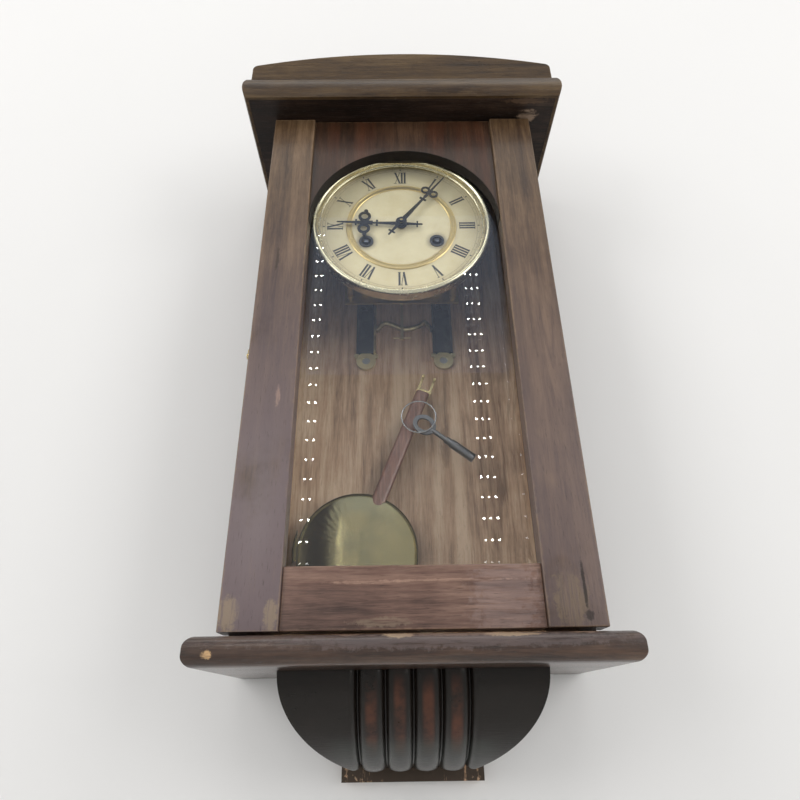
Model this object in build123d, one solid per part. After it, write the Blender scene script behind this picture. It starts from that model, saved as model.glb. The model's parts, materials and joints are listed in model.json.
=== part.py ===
"""Pendulum wall clock in a stained wood case, in millimetres.

The case hangs on a wall: the back lies on the plane y = 0, the door faces -Y and Z is up.
Heights are worked out from the door's lower edge and moved at the end, so that the origin
is the centre of the hanging hole on the wall plane.
"""
import os
from math import acos, atan2, cos, degrees, hypot, pi, radians, sin, sqrt, tan

from build123d import *

# ---- driving dimensions ----
door_width = 250.0
door_height = 475.0
case_depth = 125.0          # wall to the front of the door stiles
hanger_height = 452.0       # hanging hole above the door's lower edge
board = 12.0                # case side thickness
back_board = 10.0
fit_gap = 0.6               # door to case
running = 0.05              # radial play of a shaft in its hole

# ---- door ----
door_thick = 20.0
stile_width = 39.0
rail_setback = 3.0
bottom_rail = 41.0
arch_radius = 85.5
arch_height = 348.0
glass_thick = 2.5
glass_depth = 14.0          # stile front to glass front
glass_lap = 7.0             # glass edge behind the frame
bead = 6.0

# ---- cornice, base and corbel ----
cornice_low = 476.6
cornice_thick = 25.4
cornice_reach = 152.0
cornice_half = 153.5
nose = 6.0
crest_half = 148.0
crest_end = 27.0
crest_mid = 45.0
base_top = -3.4
base_thick = 18.0
base_reach = 140.5
base_half = 140.5
corbel_half = 89.0
corbel_reach = 100.5
corbel_drop = 67.5
reed_pitch = 18.6
reed_width = 16.4
reed_relief = 6.0
tail_half = 52.5
tail_low = -92.0

# ---- dial and movement ----
dial_x = -2.5
dial_z = 363.0
dial_y = -95.0
dial_sheet = 1.2
bezel_radius = 84.8
sight_radius = 76.0
winding_x = 33.0
winding_z = -19.0
plate_thick = 2.0
front_plate_y = -84.0
back_plate_y = -44.0
plate_half = 56.0
plate_low = -52.0
plate_high = 58.0
staff = 1.2
pivot = 0.8
centre_arbor = 1.5
suspension_z = 43.2         # pendulum suspension above the dial centre

# ---- pendulum ----
swing_plane = -27.5
leader_hook = 281.0         # height of the leader's cross wire
cross_wire = 0.45
lean = 21.6                 # tilt of the unhooked pendulum, degrees
lean_x = 22.0
lean_z = 235.0
bob_radius = 50.5
bob_drop = 176.0            # hook to the middle of the bob
bob_thick = 14.0
rod_width = 13.0
rod_thick = 6.0
rod_top = 16.0
rod_seat = 36.0             # rod's lower end above the middle of the bob

nodes = {}


# ---- helpers ----
def block(x, y, z):
    """A box between the pairs of x, y and z."""
    size = (x[1] - x[0], y[1] - y[0], z[1] - z[0])
    middle = ((x[0] + x[1]) / 2, (y[0] + y[1]) / 2, (z[0] + z[1]) / 2)
    return Pos(*middle) * Box(*size)


def rod_y(x, z, y0, y1, radius):
    """A round bar along Y."""
    turned = Rot(90, 0, 0) * Cylinder(radius, abs(y1 - y0))
    return Pos(x, (y0 + y1) / 2, z) * turned


def tube_y(x, z, y0, y1, outer, inner):
    return rod_y(x, z, y0, y1, outer) - rod_y(x, z, min(y0, y1) - 1, max(y0, y1) + 1, inner)


def bar_between(start, end, radius):
    """A round bar from one point to another."""
    run = Vector(*end) - Vector(*start)
    return Solid.make_cylinder(radius, run.length, Plane(origin=start, z_dir=run.normalized()))


def slab(outline, y0, y1):
    """A face drawn in x and z, given thickness from y0 to y1."""
    sheet = Plane((0, max(y0, y1), 0), x_dir=(1, 0, 0), z_dir=(0, -1, 0)) * outline
    return extrude(sheet, abs(y1 - y0))


def front_poly(points):
    return make_face(Polyline(*points, close=True))


def turned_y(profile, x, z):
    """A profile of (radius, y) pairs, turned about an axis along Y."""
    sheet = make_face(Polyline(*profile, close=True))
    solid = revolve(sheet, Axis.Y)
    return Pos(x, 0, z) * solid


def wheel(x, z, teeth, module, y0, y1, phase, bore=0.0, crossings=0):
    """A toothed disc with a tooth centred at the angle phase, in degrees."""
    pitch = teeth * module / 2
    tip = pitch + 0.55 * module
    root = pitch - 0.95 * module
    step = 2 * pi / teeth
    points = []
    for tooth in range(teeth):
        middle = radians(phase) + tooth * step
        for radius, share in ((root, -0.2), (tip, -0.08), (tip, 0.08), (root, 0.2)):
            angle = middle + share * step
            points.append((radius * cos(angle), radius * sin(angle)))
    disc = slab(front_poly(points), y0, y1)
    hub = max(2.6, bore + 1.4)
    if crossings:
        rim = root - 2.0
        window = slab(Circle(rim) - Circle(hub), y0 - 1, y1 + 1)
        for arm in range(crossings):
            spoke = block((0, rim + 1), (min(y0, y1) - 2, max(y0, y1) + 2), (-0.9, 0.9))
            window -= Rot(0, -arm * 360 / crossings, 0) * spoke
        disc -= window
    if bore:
        disc -= rod_y(0, 0, y0 - 1, y1 + 1, bore)
    return Pos(x, 0, z) * disc


def towards(start, end):
    return degrees(atan2(end[1] - start[1], end[0] - start[0]))


def reach(start, distance, other, far, side):
    """The point at one distance from start and another from other, on the chosen side."""
    gap = hypot(other[0] - start[0], other[1] - start[1])
    along = (distance ** 2 - far ** 2 + gap ** 2) / (2 * gap)
    off = side * sqrt(distance ** 2 - along ** 2)
    ux = (other[0] - start[0]) / gap
    uz = (other[1] - start[1]) / gap
    return (start[0] + along * ux - off * uz, start[1] + along * uz + off * ux)


def mesh_phases(driver, driven, leaves):
    """Tooth angles that put a tooth of the first wheel in a space of the second."""
    line = towards(driver, driven)
    return line, line + 180 + 180 / leaves


# ---- case ----
side_outer = door_width / 2 - 3
side_inner = side_outer - board
case_front = -(case_depth - door_thick) + fit_gap
base_low = base_top - base_thick
inside = (-side_inner, side_inner)
back = block(inside, (-back_board, 0), (base_top, cornice_low))
back += block((-tail_half, tail_half), (-back_board, 0), (tail_low, base_top))
tail_room = block((-tail_half, tail_half), (-back_board, 1), (tail_low - 20, base_top))
back -= rod_y(0, hanger_height, -back_board - 1, -1, 8)
back -= block((-17, 17), (-2, 1), (hanger_height - 15, hanger_height + 15))
nodes["backboard"] = back
for name, side in (("left_side", -1), ("right_side", 1)):
    span = sorted((side * side_inner, side * side_outer))
    nodes[name] = block(span, (case_front, 0), (base_top, cornice_low))

cornice_high = cornice_low + cornice_thick
core_half = cornice_half - nose
core_front = -(cornice_reach - nose)
nodes["cornice_board"] = block((-core_half, core_half), (core_front, 0), (cornice_low, cornice_high))


def nosing(length):
    """A half-round moulding along X: its back lies on y = 0 and it stands forward by the nose."""
    low = nose * 0.45
    outline = Polyline((0, 0), (-low, 0))
    curve = ThreePointArc((-low, 0), (-nose, cornice_thick * 0.6), (-low * 1.2, cornice_thick))
    top = Polyline((-low * 1.2, cornice_thick), (0, cornice_thick), (0, 0))
    face = make_face(outline + curve + top)
    sheet = Plane((-length / 2, 0, 0), x_dir=(0, 1, 0), z_dir=(1, 0, 0)) * face
    return extrude(sheet, length)


def mitre(x, y, turn):
    """A cutting block whose corner edge runs through (x, y) on a 45 degree line."""
    return Pos(x, y, cornice_low) * Rot(0, 0, turn) * block((0, 400), (-400, 400), (-1, 40))


front_nose = Pos(0, core_front, cornice_low) * nosing(2 * cornice_half)
front_nose -= mitre(core_half, core_front, 45)
front_nose -= mitre(-core_half, core_front, 135)
left_nose = Pos(-core_half, core_front / 2 - nose / 2, cornice_low) * Rot(0, 0, -90) * nosing(-core_front + nose)
left_nose -= Pos(-core_half, core_front, cornice_low) * Rot(0, 0, -45) * block((0, 60), (-60, 60), (-1, 40))
right_nose = mirror(left_nose, Plane.YZ)
nodes["cornice_moulding"] = [front_nose, left_nose, right_nose]

crest_arc = ThreePointArc((-crest_half, crest_end), (0, crest_mid), (crest_half, crest_end))
crest_edge = Polyline((crest_half, crest_end), (crest_half, 0), (-crest_half, 0), (-crest_half, crest_end))
crest = slab(Pos(0, cornice_high) * make_face(crest_arc + crest_edge), core_front + 1, core_front + 13)
nodes["crest_board"] = fillet(crest.edges().filter_by(Axis.Y).group_by(Axis.Z)[-1], 6)

base = block((-base_half, base_half), (-base_reach, 0), (base_low, base_top))
round_edges = base.edges().filter_by(Axis.X).group_by(Axis.Y)[0]
round_edges += base.edges().filter_by(Axis.Y)
nodes["base_board"] = fillet(round_edges, 7) - tail_room


# ---- corbel ----
def corbel_side(inset):
    """Quarter ellipse from the underside of the base board down to the wall, less an inset."""
    deep = corbel_reach - inset
    drop = corbel_drop - inset
    points = [(0, base_low)]
    for step in range(25):
        turn = pi / 2 * step / 24
        points.append((-deep * cos(turn), base_low - drop * sin(turn)))
    return make_face(Polyline(points[0], points[1]) + Spline(*points[1:]) + Polyline(points[-1], points[0]))


def corbel_strip(inset, x0, x1):
    sheet = Plane((x0, 0, 0), x_dir=(0, 1, 0), z_dir=(1, 0, 0)) * corbel_side(inset)
    return extrude(sheet, x1 - x0)


def corbel():
    """A bracket whose front is four round reeds between two plain lobes."""
    body = corbel_strip(reed_relief, -corbel_half, corbel_half)
    for place in (-1.5, -0.5, 0.5, 1.5):
        middle = place * reed_pitch
        reed = corbel_strip(0, middle - reed_width / 2, middle + reed_width / 2)
        long_edges = reed.edges().filter_by(GeomType.BSPLINE)
        body += fillet(long_edges, reed_relief - 0.2)
    lobe = corbel_strip(0, 2 * reed_pitch, corbel_half)
    inner = lobe.edges().filter_by(GeomType.BSPLINE).sort_by(Axis.X)[0]
    lobe = fillet(inner, reed_relief - 0.2)
    body += lobe
    body += mirror(lobe, Plane.YZ)
    outline = Ellipse(corbel_half, corbel_drop + 1.5)
    return (body & slab(Pos(0, base_low) * outline, -corbel_reach - 10, 0)) - tail_room


nodes["corbel"] = corbel()

# ---- hanging plate ----
hanger = block((-16.9, 16.9), (-2, 0), (hanger_height - 14.9, hanger_height + 14.9))
hanger -= rod_y(0, hanger_height, -3, 1, 4.0)
hanger -= block((-1.5, 1.5), (-3, 1), (hanger_height, hanger_height + 10))
fixings = []
for side in (-1, 1):
    for lift in (-10.5, 10.5):
        x = side * 12.5
        z = hanger_height + lift
        hanger -= rod_y(x, z, -3, 1, 1.5)
        nodes["backboard"] -= rod_y(x, z, -8, 0, 1.1)
        fixings.append(rod_y(x, z, -7.5, -0.2, 1.1) + rod_y(x, z, -2, -0.2, 1.5))
nodes["hanger_plate"] = hanger

# ---- door ----
door_half = door_width / 2
door_front = -case_depth
door_back = door_front + door_thick
rail_front = door_front + rail_setback
opening = door_half - stile_width
glass_front = door_front + glass_depth
glass_back = glass_front + glass_thick
bead_back = glass_back + 3.0
rebate = (glass_front, door_back + 1)

glass_low = bottom_rail - glass_lap
glass_high = arch_height + arch_radius + glass_lap
glass_half = opening + glass_lap
rebate_box = block((-glass_half, glass_half), rebate, (glass_low, glass_high))
for name, side in (("left_stile", -1), ("right_stile", 1)):
    span = sorted((side * opening, side * door_half))
    stile = block(span, (door_front, door_back), (0, door_height))
    stile = fillet(stile.edges().filter_by(Axis.Z).group_by(Axis.Y)[0], 1.0)
    nodes["door_" + name] = stile - rebate_box
rail = block((-opening, opening), (rail_front, door_back), (0, bottom_rail))
nodes["door_bottom_rail"] = rail - rebate_box
rail = block((-opening, opening), (rail_front, door_back), (arch_height, door_height))
rail -= rod_y(0, arch_height, door_front - 1, door_back + 1, arch_radius)
nodes["door_top_rail"] = rail - rebate_box
pane_gap = 0.3
pane_half = glass_half - pane_gap
pane = (glass_low + pane_gap, glass_high - pane_gap)
nodes["door_glass"] = block((-pane_half, pane_half), (glass_front, glass_back), pane)
bead_y = (glass_back, bead_back)
beads = [block(sorted((s * pane_half, s * (pane_half - bead))), bead_y, pane) for s in (-1, 1)]
for low in (pane[0], pane[1] - bead):
    reach_x = pane_half - bead - 0.05
    beads.append(block((-reach_x, reach_x), bead_y, (low, low + bead)))
nodes["glass_beads"] = beads

# ---- door hinges and hook ----
hinge_x = side_outer + 4.0
hinge_y = case_front - fit_gap / 2
hinge_r = 2.6
pin_r = 1.2
hinge_heights = (55.0, 415.0)
hinge_long = 42.0
case_leaves = []
door_leaves = []
pins = []
for low in hinge_heights:
    for knuckle in range(3):
        z0 = low + knuckle * hinge_long / 3 + 0.2
        z1 = z0 + hinge_long / 3 - 0.4
        barrel = Pos(hinge_x, hinge_y, (z0 + z1) / 2) * Cylinder(hinge_r, z1 - z0)
        if knuckle == 1:
            leaf = block((side_outer - 10, hinge_x), (hinge_y - 0.95, hinge_y - 0.15), (z0, z1))
        else:
            leaf = block((side_outer - 10, hinge_x), (hinge_y + 0.15, hinge_y + 0.95), (z0, z1))
        barrel += leaf
        bore = pin_r + (running if knuckle == 1 else 0)
        barrel -= Pos(hinge_x, hinge_y, (z0 + z1) / 2) * Cylinder(bore, 20)
        if knuckle == 1:
            door_leaves.append(barrel)
        else:
            case_leaves.append(barrel)
    pin = Pos(hinge_x, hinge_y, low + hinge_long / 2) * Cylinder(pin_r, hinge_long)
    for end in (low - 1.8, low + hinge_long + 1.8):
        pin += Pos(hinge_x, hinge_y, end) * Sphere(2.0)
    pins.append(pin)
# room for the knuckles and leaves in the side and in the door
for low in hinge_heights:
    z = (low - 3.6, low + hinge_long + 3.6)
    pocket = block((side_outer - 10.2, side_outer + 9), (hinge_y - 3.1, hinge_y + 3.1), z)
    nodes["right_side"] -= pocket
    nodes["door_right_stile"] -= pocket
nodes["hinge_case_leaves"] = case_leaves
nodes["hinge_door_leaves"] = door_leaves
nodes["hinge_pins"] = pins

hook_z = 210.0
hook_y = case_front + 16
hook_plane = -side_outer
hook_stud = bar_between((hook_plane + 6, hook_y, hook_z), (hook_plane - 5.6, hook_y, hook_z), 1.2)
hook_stud += bar_between((hook_plane - 5.6, hook_y, hook_z), (hook_plane - 6.8, hook_y, hook_z), 2.6)
fixings.append(hook_stud)
nodes["left_side"] -= bar_between((hook_plane + 6, hook_y, hook_z), (hook_plane, hook_y, hook_z), 1.2)
catch_y = door_back - 8
catch = bar_between((-door_half + 8, catch_y, hook_z), (-door_half - 2.6, catch_y, hook_z), 1.2)
catch += bar_between((-door_half - 2.6, catch_y, hook_z), (-door_half - 3.8, catch_y, hook_z), 2.4)
nodes["door_catch"] = catch
nodes["door_left_stile"] -= bar_between((-door_half + 8, catch_y, hook_z), (-door_half, catch_y, hook_z), 1.2)


def hook():
    """A flat brass hook: an eye on the case, a straight arm and a notch that drops on the catch."""
    x = (-door_half - 2.2, -door_half - 0.8)
    eye = bar_between((x[0], hook_y, hook_z), (x[1], hook_y, hook_z), 4.2)
    arm = block(x, (catch_y - 4.4, hook_y), (hook_z - 2.4, hook_z + 2.8))
    tip = block(x, (catch_y - 6.0, catch_y - 2.0), (hook_z - 5.0, hook_z + 2.8))
    notch = block((x[0] - 1, x[1] + 1), (catch_y - 1.6, catch_y + 1.6), (hook_z - 6, hook_z))
    notch += bar_between((x[0] - 1, catch_y, hook_z), (x[1] + 1, catch_y, hook_z), 1.6)
    bore = bar_between((x[0] - 1, hook_y, hook_z), (x[1] + 1, hook_y, hook_z), 1.2 + running)
    return eye + arm + tip - notch - bore


nodes["door_hook"] = hook()

# ---- dial ----
dial_back = dial_y + dial_sheet
plate_x = (dial_x - plate_half, dial_x + plate_half)
plate_z = (dial_z + plate_low, dial_z + plate_high)
front_plate_back = front_plate_y + plate_thick
back_plate_back = back_plate_y + plate_thick
windings = [(side * winding_x, winding_z) for side in (1, -1)]

dial = rod_y(dial_x, dial_z, dial_y, dial_back, 83.4) - rod_y(dial_x, dial_z, dial_y - 1, dial_back + 1, 4.0)
grommets = []
for x, z in windings:
    dial -= rod_y(dial_x + x, dial_z + z, dial_y - 1, dial_back + 1, 5.95)
    neck = tube_y(dial_x + x, dial_z + z, dial_y, dial_back, 5.95, 4.6)
    grommets.append(neck + tube_y(dial_x + x, dial_z + z, dial_y - 1.0, dial_y, 6.7, 4.6))
for s in (-1, 1):
    for z in (-44, 46):
        dial += rod_y(dial_x + s * 40, dial_z + z, dial_back, front_plate_y, 1.6)
nodes["dial_plate"] = dial
nodes["winding_bushes"] = grommets
nodes["dial_ring"] = tube_y(dial_x, dial_z, dial_y - 0.9, dial_y, 52.0, 46.5)
bezel_steps = [
    (0.0, 0.0), (0.0, 2.2), (1.4, 3.0), (2.2, 5.6), (3.6, 7.6), (5.6, 8.6), (7.6, 7.8),
]
bezel = [(sight_radius + out, dial_y - rise) for out, rise in bezel_steps]
bezel += [(bezel_radius, dial_y - 6.0), (bezel_radius, dial_y + 3.5)]
bezel += [(bezel_radius - 1.3, dial_y + 3.5), (bezel_radius - 1.3, dial_y)]
nodes["dial_bezel"] = turned_y(bezel, dial_x, dial_z)

# ---- train layout, measured from the dial centre ----
great_teeth, great_module = 72, 0.6857
inter_teeth, inter_module = 60, 0.6
train_teeth, centre_module, third_module = 80, 0.42, 0.36
leaf_pinion, inter_pinion, centre_pinion = 8, 12, 10
escape_teeth, escape_radius = 33, 10.8
motion_pinion, motion_wheel, motion_module = 12, 36, 0.7
minute_pinion, hour_teeth = 10, 40
hour_module = motion_module * (motion_pinion + motion_wheel) / (minute_pinion + hour_teeth)
pin_teeth, pin_module = 48, 0.5

centre = (0.0, 0.0)
going = windings[0]
strike = windings[1]
great_gap = (great_teeth + inter_pinion) * great_module / 2
inter = reach(going, great_gap, centre, (inter_teeth + centre_pinion) * inter_module / 2, -1)
third_gap = (train_teeth + leaf_pinion) * centre_module / 2
third = (third_gap * cos(radians(120)), third_gap * sin(radians(120)))
escape_gap = (train_teeth + leaf_pinion) * third_module / 2
escape = (0.0, third[1] + sqrt(escape_gap ** 2 - third[0] ** 2))
anchor = (0.0, suspension_z)
pin_wheel = (-30.0, strike[1] + sqrt(great_gap ** 2 - 9))
fly_gap = (pin_teeth + leaf_pinion) * pin_module / 2
fly = (pin_wheel[0] + fly_gap * cos(radians(102)), pin_wheel[1] + fly_gap * sin(radians(102)))
motion_gap = (motion_pinion + motion_wheel) * motion_module / 2
minute_arbor = (0.0, motion_gap)
hammer_arbor = (-24.0, 40.0)
pillar_places = [(-50, -46), (50, -46), (-50, 52), (50, 52)]


def at(place):
    return dial_x + place[0], dial_z + place[1]


# ---- plates ----
def plate(y0, y1):
    body = block(plate_x, (y0, y1), plate_z)
    for place in (inter, third, escape, pin_wheel, fly):
        body -= rod_y(*at(place), y0 - 1, y1 + 1, pivot + running)
    body -= rod_y(*at(centre), y0 - 1, y1 + 1, centre_arbor + running)
    for place in windings:
        body -= rod_y(*at(place), y0 - 1, y1 + 1, 3.0 + running)
    return body


front_plate = plate(front_plate_y, front_plate_back)
front_plate -= rod_y(*at(anchor), front_plate_y - 1, front_plate_back + 1, pivot + running)
front_plate -= rod_y(*at(hammer_arbor), front_plate_y - 1, front_plate_back + 1, pivot + running)
front_plate += rod_y(*at(minute_arbor), front_plate_y, dial_back - 0.8 + 1.6, 1.0)
back_plate = plate(back_plate_y, back_plate_back)
for place in (anchor, hammer_arbor):
    back_plate -= rod_y(*at(place), back_plate_y - 1, back_plate_back + 1, staff + running)
for place in pillar_places:
    back_plate += rod_y(*at(place), front_plate_back, back_plate_y, 3.4)
    for y in (front_plate_back + 5, back_plate_y - 5):
        back_plate += rod_y(*at(place), y - 1, y + 1, 4.4)
    fixings.append(rod_y(*at(place), front_plate_y - 2.6, front_plate_y, 3.2))
click_places = []
for x, z in windings:
    click_places.append((x * 0.62, z + 16.5))
for place in click_places:
    front_plate += rod_y(*at(place), front_plate_y - 2.4, front_plate_y, 1.0)
nodes["front_plate"] = front_plate


# ---- arbors and wheels ----
def arbor(place, thick=staff, ends=(front_plate_y, back_plate_back)):
    """A staff between the plates with a thinner pivot in each."""
    body = rod_y(*at(place), front_plate_back + 0.3, back_plate_y - 0.3, thick)
    return body + rod_y(*at(place), ends[0], ends[1], pivot)


great_phase, inter_phase = mesh_phases(going, inter, inter_pinion)
great_y = (-66.0, -63.5)


def spring_barrel(place, other, hole=3.0):
    """A toothed great wheel on a drum that holds the mainspring, turning on the winding arbor."""
    phase = mesh_phases(place, other, inter_pinion)[0]
    body = wheel(*at(place), great_teeth, great_module, *great_y, phase)
    body += rod_y(*at(place), great_y[1], -48.0, 20.0)
    return body - rod_y(*at(place), -70, -40, hole + running)


nodes["going_barrel"] = spring_barrel(going, inter)
nodes["strike_barrel"] = spring_barrel(strike, pin_wheel)


def winder(place):
    """A winding arbor: a square for the key in front, a ratchet wheel and the barrel shaft."""
    x, z = at(place)
    body = rod_y(x, z, front_plate_y - 3.4, back_plate_back, 3.0)
    body += block((x - 1.9, x + 1.9), (dial_y - 1.6, front_plate_y - 3), (z - 1.9, z + 1.9))
    points = []
    for tooth in range(18):
        angle = 2 * pi * tooth / 18
        points.append((8.6 * cos(angle), 8.6 * sin(angle)))
        points.append((7.4 * cos(angle + 0.04), 7.4 * sin(angle + 0.04)))
    return body + slab(Pos(x, z) * front_poly(points), front_plate_y - 2.4, front_plate_y - 0.6)


click_length = 12.0         # pivot to tip
click_clear = 9.3           # tip to the winding axis


def click(place, winding):
    """A pawl on a stud of the front plate, its tip just clear of the ratchet teeth."""
    x, z = at(place)
    cx, cz = at(winding)
    line = atan2(cz - z, cx - x)
    gap = hypot(cx - x, cz - z)
    lead = acos((gap ** 2 + click_length ** 2 - click_clear ** 2) / (2 * gap * click_length))
    turn = line + (lead if winding[0] > 0 else -lead)
    tip = (x + click_length * cos(turn), z + click_length * sin(turn))
    y = (front_plate_y - 2.2, front_plate_y - 0.8)
    body = rod_y(x, z, *y, 2.4)
    body += slab(front_poly([
        (x + 1.6 * sin(turn), z - 1.6 * cos(turn)), tip, (x - 1.6 * sin(turn), z + 1.6 * cos(turn)),
    ]), *y)
    return body - rod_y(x, z, y[0] - 1, y[1] + 1, 1.0 + running)


nodes["going_winder"] = winder(going)
nodes["strike_winder"] = winder(strike)
nodes["going_click"] = click(click_places[0], going)
nodes["strike_click"] = click(click_places[1], strike)

inter_wheel_phase, centre_pinion_phase = mesh_phases(inter, centre, centre_pinion)
body = arbor(inter) + wheel(*at(inter), inter_pinion, great_module, -67.5, -62.0, inter_phase)
body += wheel(*at(inter), inter_teeth, inter_module, -72.0, -70.5, inter_wheel_phase, 0, 5)
nodes["intermediate_wheel"] = body

centre_phase, third_phase = mesh_phases(centre, third, leaf_pinion)
body = rod_y(*at(centre), -103.6, back_plate_back, centre_arbor)
body += wheel(*at(centre), centre_pinion, inter_module, -73.0, -69.5, centre_pinion_phase)
body += wheel(*at(centre), train_teeth, centre_module, -50.0, -48.5, centre_phase, 0, 5)
nodes["centre_wheel"] = body

third_wheel_phase, escape_phase = mesh_phases(third, escape, leaf_pinion)
body = arbor(third) + wheel(*at(third), leaf_pinion, centre_module, -51.0, -47.5, third_phase)
body += wheel(*at(third), train_teeth, third_module, -56.0, -54.5, third_wheel_phase, 0, 5)
nodes["third_wheel"] = body


def escape_wheel():
    """A thin wheel with pointed, forward-leaning teeth, on the last pinion of the train."""
    x, z = at(escape)
    step = 2 * pi / escape_teeth
    points = []
    for tooth in range(escape_teeth):
        angle = tooth * step
        points.append((escape_radius * cos(angle), escape_radius * sin(angle)))
        points.append((escape_radius * cos(angle + 0.1 * step), escape_radius * sin(angle + 0.1 * step)))
        points.append((8.9 * cos(angle + 0.6 * step), 8.9 * sin(angle + 0.6 * step)))
    disc = slab(front_poly(points), -62.0, -61.0)
    disc -= slab(Circle(7.4) - Circle(2.4) - Rectangle(16, 1.4) - Rectangle(1.4, 16), -63.0, -60.0)
    body = arbor(escape) + Pos(x, 0, z) * disc
    return body + wheel(x, z, leaf_pinion, third_module, -57.0, -53.5, escape_phase)


nodes["escape_wheel"] = escape_wheel()

pin_phase, fly_phase = mesh_phases(pin_wheel, fly, leaf_pinion)
strike_phase = mesh_phases(strike, pin_wheel, inter_pinion)[1]
body = arbor(pin_wheel) + wheel(*at(pin_wheel), inter_pinion, great_module, -67.5, -62.0, strike_phase)
body += wheel(*at(pin_wheel), pin_teeth, pin_module, -74.0, -72.5, pin_phase)
for pin_number in range(8):
    angle = 2 * pi * pin_number / 8
    spot = (pin_wheel[0] + 8.5 * cos(angle), pin_wheel[1] + 8.5 * sin(angle))
    body += rod_y(*at(spot), -72.5, -69.5, 0.6)
nodes["pin_wheel"] = body
body = arbor(fly) + wheel(*at(fly), leaf_pinion, pin_module, -75.0, -71.5, fly_phase)
x, z = at(fly)
body += block((x - 6.5, x + 6.5), (-68, -54), (z - 0.25, z + 0.25))
nodes["fly"] = body

# ---- motion work and hands ----
cannon_phase, minute_phase = mesh_phases(centre, minute_arbor, motion_wheel)
minute_pinion_phase, hour_phase = mesh_phases(minute_arbor, centre, hour_teeth)
cannon_bore = centre_arbor + running
body = tube_y(*at(centre), front_plate_y - 0.4, -102.6, 2.2, cannon_bore)
body += wheel(*at(centre), motion_pinion, motion_module, -87.6, -85.2, cannon_phase, cannon_bore)
nodes["cannon_pinion"] = body
body = wheel(*at(minute_arbor), motion_wheel, motion_module, -87.0, -85.8, minute_phase, 1.0 + running)
body += wheel(*at(minute_arbor), minute_pinion, hour_module, -91.2, -87.0, minute_pinion_phase, 1.0 + running)
nodes["minute_wheel"] = body
body = tube_y(*at(centre), -88.4, -99.0, 3.2, 2.2 + running)
body += wheel(*at(centre), hour_teeth, hour_module, -90.6, -89.4, hour_phase, 2.2 + running)
nodes["hour_wheel"] = body


def ring2d(x, z, outer, inner):
    return Pos(x, z) * (Circle(outer) - Circle(inner))


def bar2d(z0, z1, w0, w1):
    return front_poly([(-w0 / 2, z0), (w0 / 2, z0), (w1 / 2, z1), (-w1 / 2, z1)])


def cross2d(z):
    arms = bar2d(z - 0.7, z + 0.7, 7.0, 7.0)
    return arms + bar2d(z - 5.0, z + 3.0, 1.6, 1.6)


def hand(sketch, turn, y0, y1, bore):
    """A flat hand drawn pointing up, turned clockwise to its place on the dial."""
    face = Rot(0, 0, -turn) * (sketch - Circle(bore))
    return slab(Pos(dial_x, dial_z) * face, y0, y1)


minute_turn = 37.0
hour_turn = 273.0
minute_sketch = Circle(5.2) + bar2d(3, 40, 4.6, 1.5) + bar2d(-17, -3, 1.6, 3.2) + cross2d(-15)
minute_sketch += bar2d(34, 36, 7, 7) + ring2d(-4.7, 46, 4.4, 2.4) + ring2d(4.7, 46, 4.4, 2.4)
minute_sketch += bar2d(38, 58, 3.0, 1.6) + bar2d(57, 70, 1.6, 0.7)
hour_sketch = Circle(5.6) + bar2d(3, 28, 4.0, 1.5) + bar2d(-17, -3, 1.6, 3.2) + cross2d(-15)
hour_sketch += bar2d(22, 24, 7, 7) + ring2d(-7.4, 35, 6.0, 3.2) + ring2d(7.4, 35, 6.0, 3.2)
hour_sketch += Pos(-14.2, 34) * Circle(2.0) + Pos(14.2, 34) * Circle(2.0) + bar2d(42, 43.6, 7, 7)
hour_sketch += bar2d(27, 48, 4.6, 2.2) + bar2d(47, 61, 2.2, 0.8)
nodes["minute_hand"] = hand(minute_sketch, minute_turn, -101.6, -100.8, 2.2)
nodes["hour_hand"] = hand(hour_sketch, hour_turn, -98.6, -97.8, 3.2)
nodes["hand_nut"] = tube_y(*at(centre), -104.6, -102.6, 2.6, cannon_bore)


# ---- escapement and suspension ----
def anchor_piece():
    """The anchor with its two pallets, its arbor through the back plate and the crutch behind."""
    x, z = at(anchor)
    body = rod_y(x, z, front_plate_back + 0.3, -36.4, staff)
    body += rod_y(x, z, front_plate_y, front_plate_back + 1, pivot)
    for side in (-1, 1):
        elbow = (x + side * 10.6, -61.5, z - 4.2)
        tip = (x + side * 9.9, -61.5, z - 7.6)
        body += bar_between((x, -61.5, z), elbow, 0.6)
        body += bar_between(elbow, tip, 0.55) + Pos(*elbow) * Sphere(0.6)
    body += block((x - 1.4, x + 1.4), (-38.2, -36.8), (z - 35.0, z + 1.2))
    body += block((x - 3.4, x + 3.4), (-38.2, -36.8), (z - 37.0, z - 34.8))
    for side in (-1, 1):
        prong = sorted((x + side * 1.95, x + side * 3.4))
        body += block(prong, (-37.0, -25.0), (z - 37.0, z - 34.8))
    return body


nodes["anchor"] = anchor_piece()
sx, sz = at(anchor)
cock = block((sx - 6, sx + 6), (back_plate_back, -21.0), (sz + 2.0, sz + 10.5))
cock -= block((sx - 0.75, sx + 0.75), (-33.0, -20.0), (sz, sz + 8.0))
cock += block((sx - 13, sx + 13), (back_plate_back, back_plate_back + 1.6), (sz + 2.0, sz + 10.5))
nodes["back_plate"] = back_plate + cock
nodes["suspension_spring"] = block((sx - 0.15, sx + 0.15), (-32.0, -23.0), (sz - 9.0, sz + 7.4))
leader = block((sx - 1.5, sx + 1.5), (swing_plane - 1, swing_plane + 1), (leader_hook - 1.6, sz - 11.0))
leader += block((sx - 1.5, sx + 1.5), (-32.4, -22.6), (sz - 15.0, sz - 8.0))
leader -= block((sx - 0.15, sx + 0.15), (-32.0, -23.0), (sz - 9.0, sz))
wire = bar_between((sx - 8.4, swing_plane, leader_hook), (sx + 8.4, swing_plane, leader_hook), cross_wire)
nodes["leader"] = leader + wire


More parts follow.
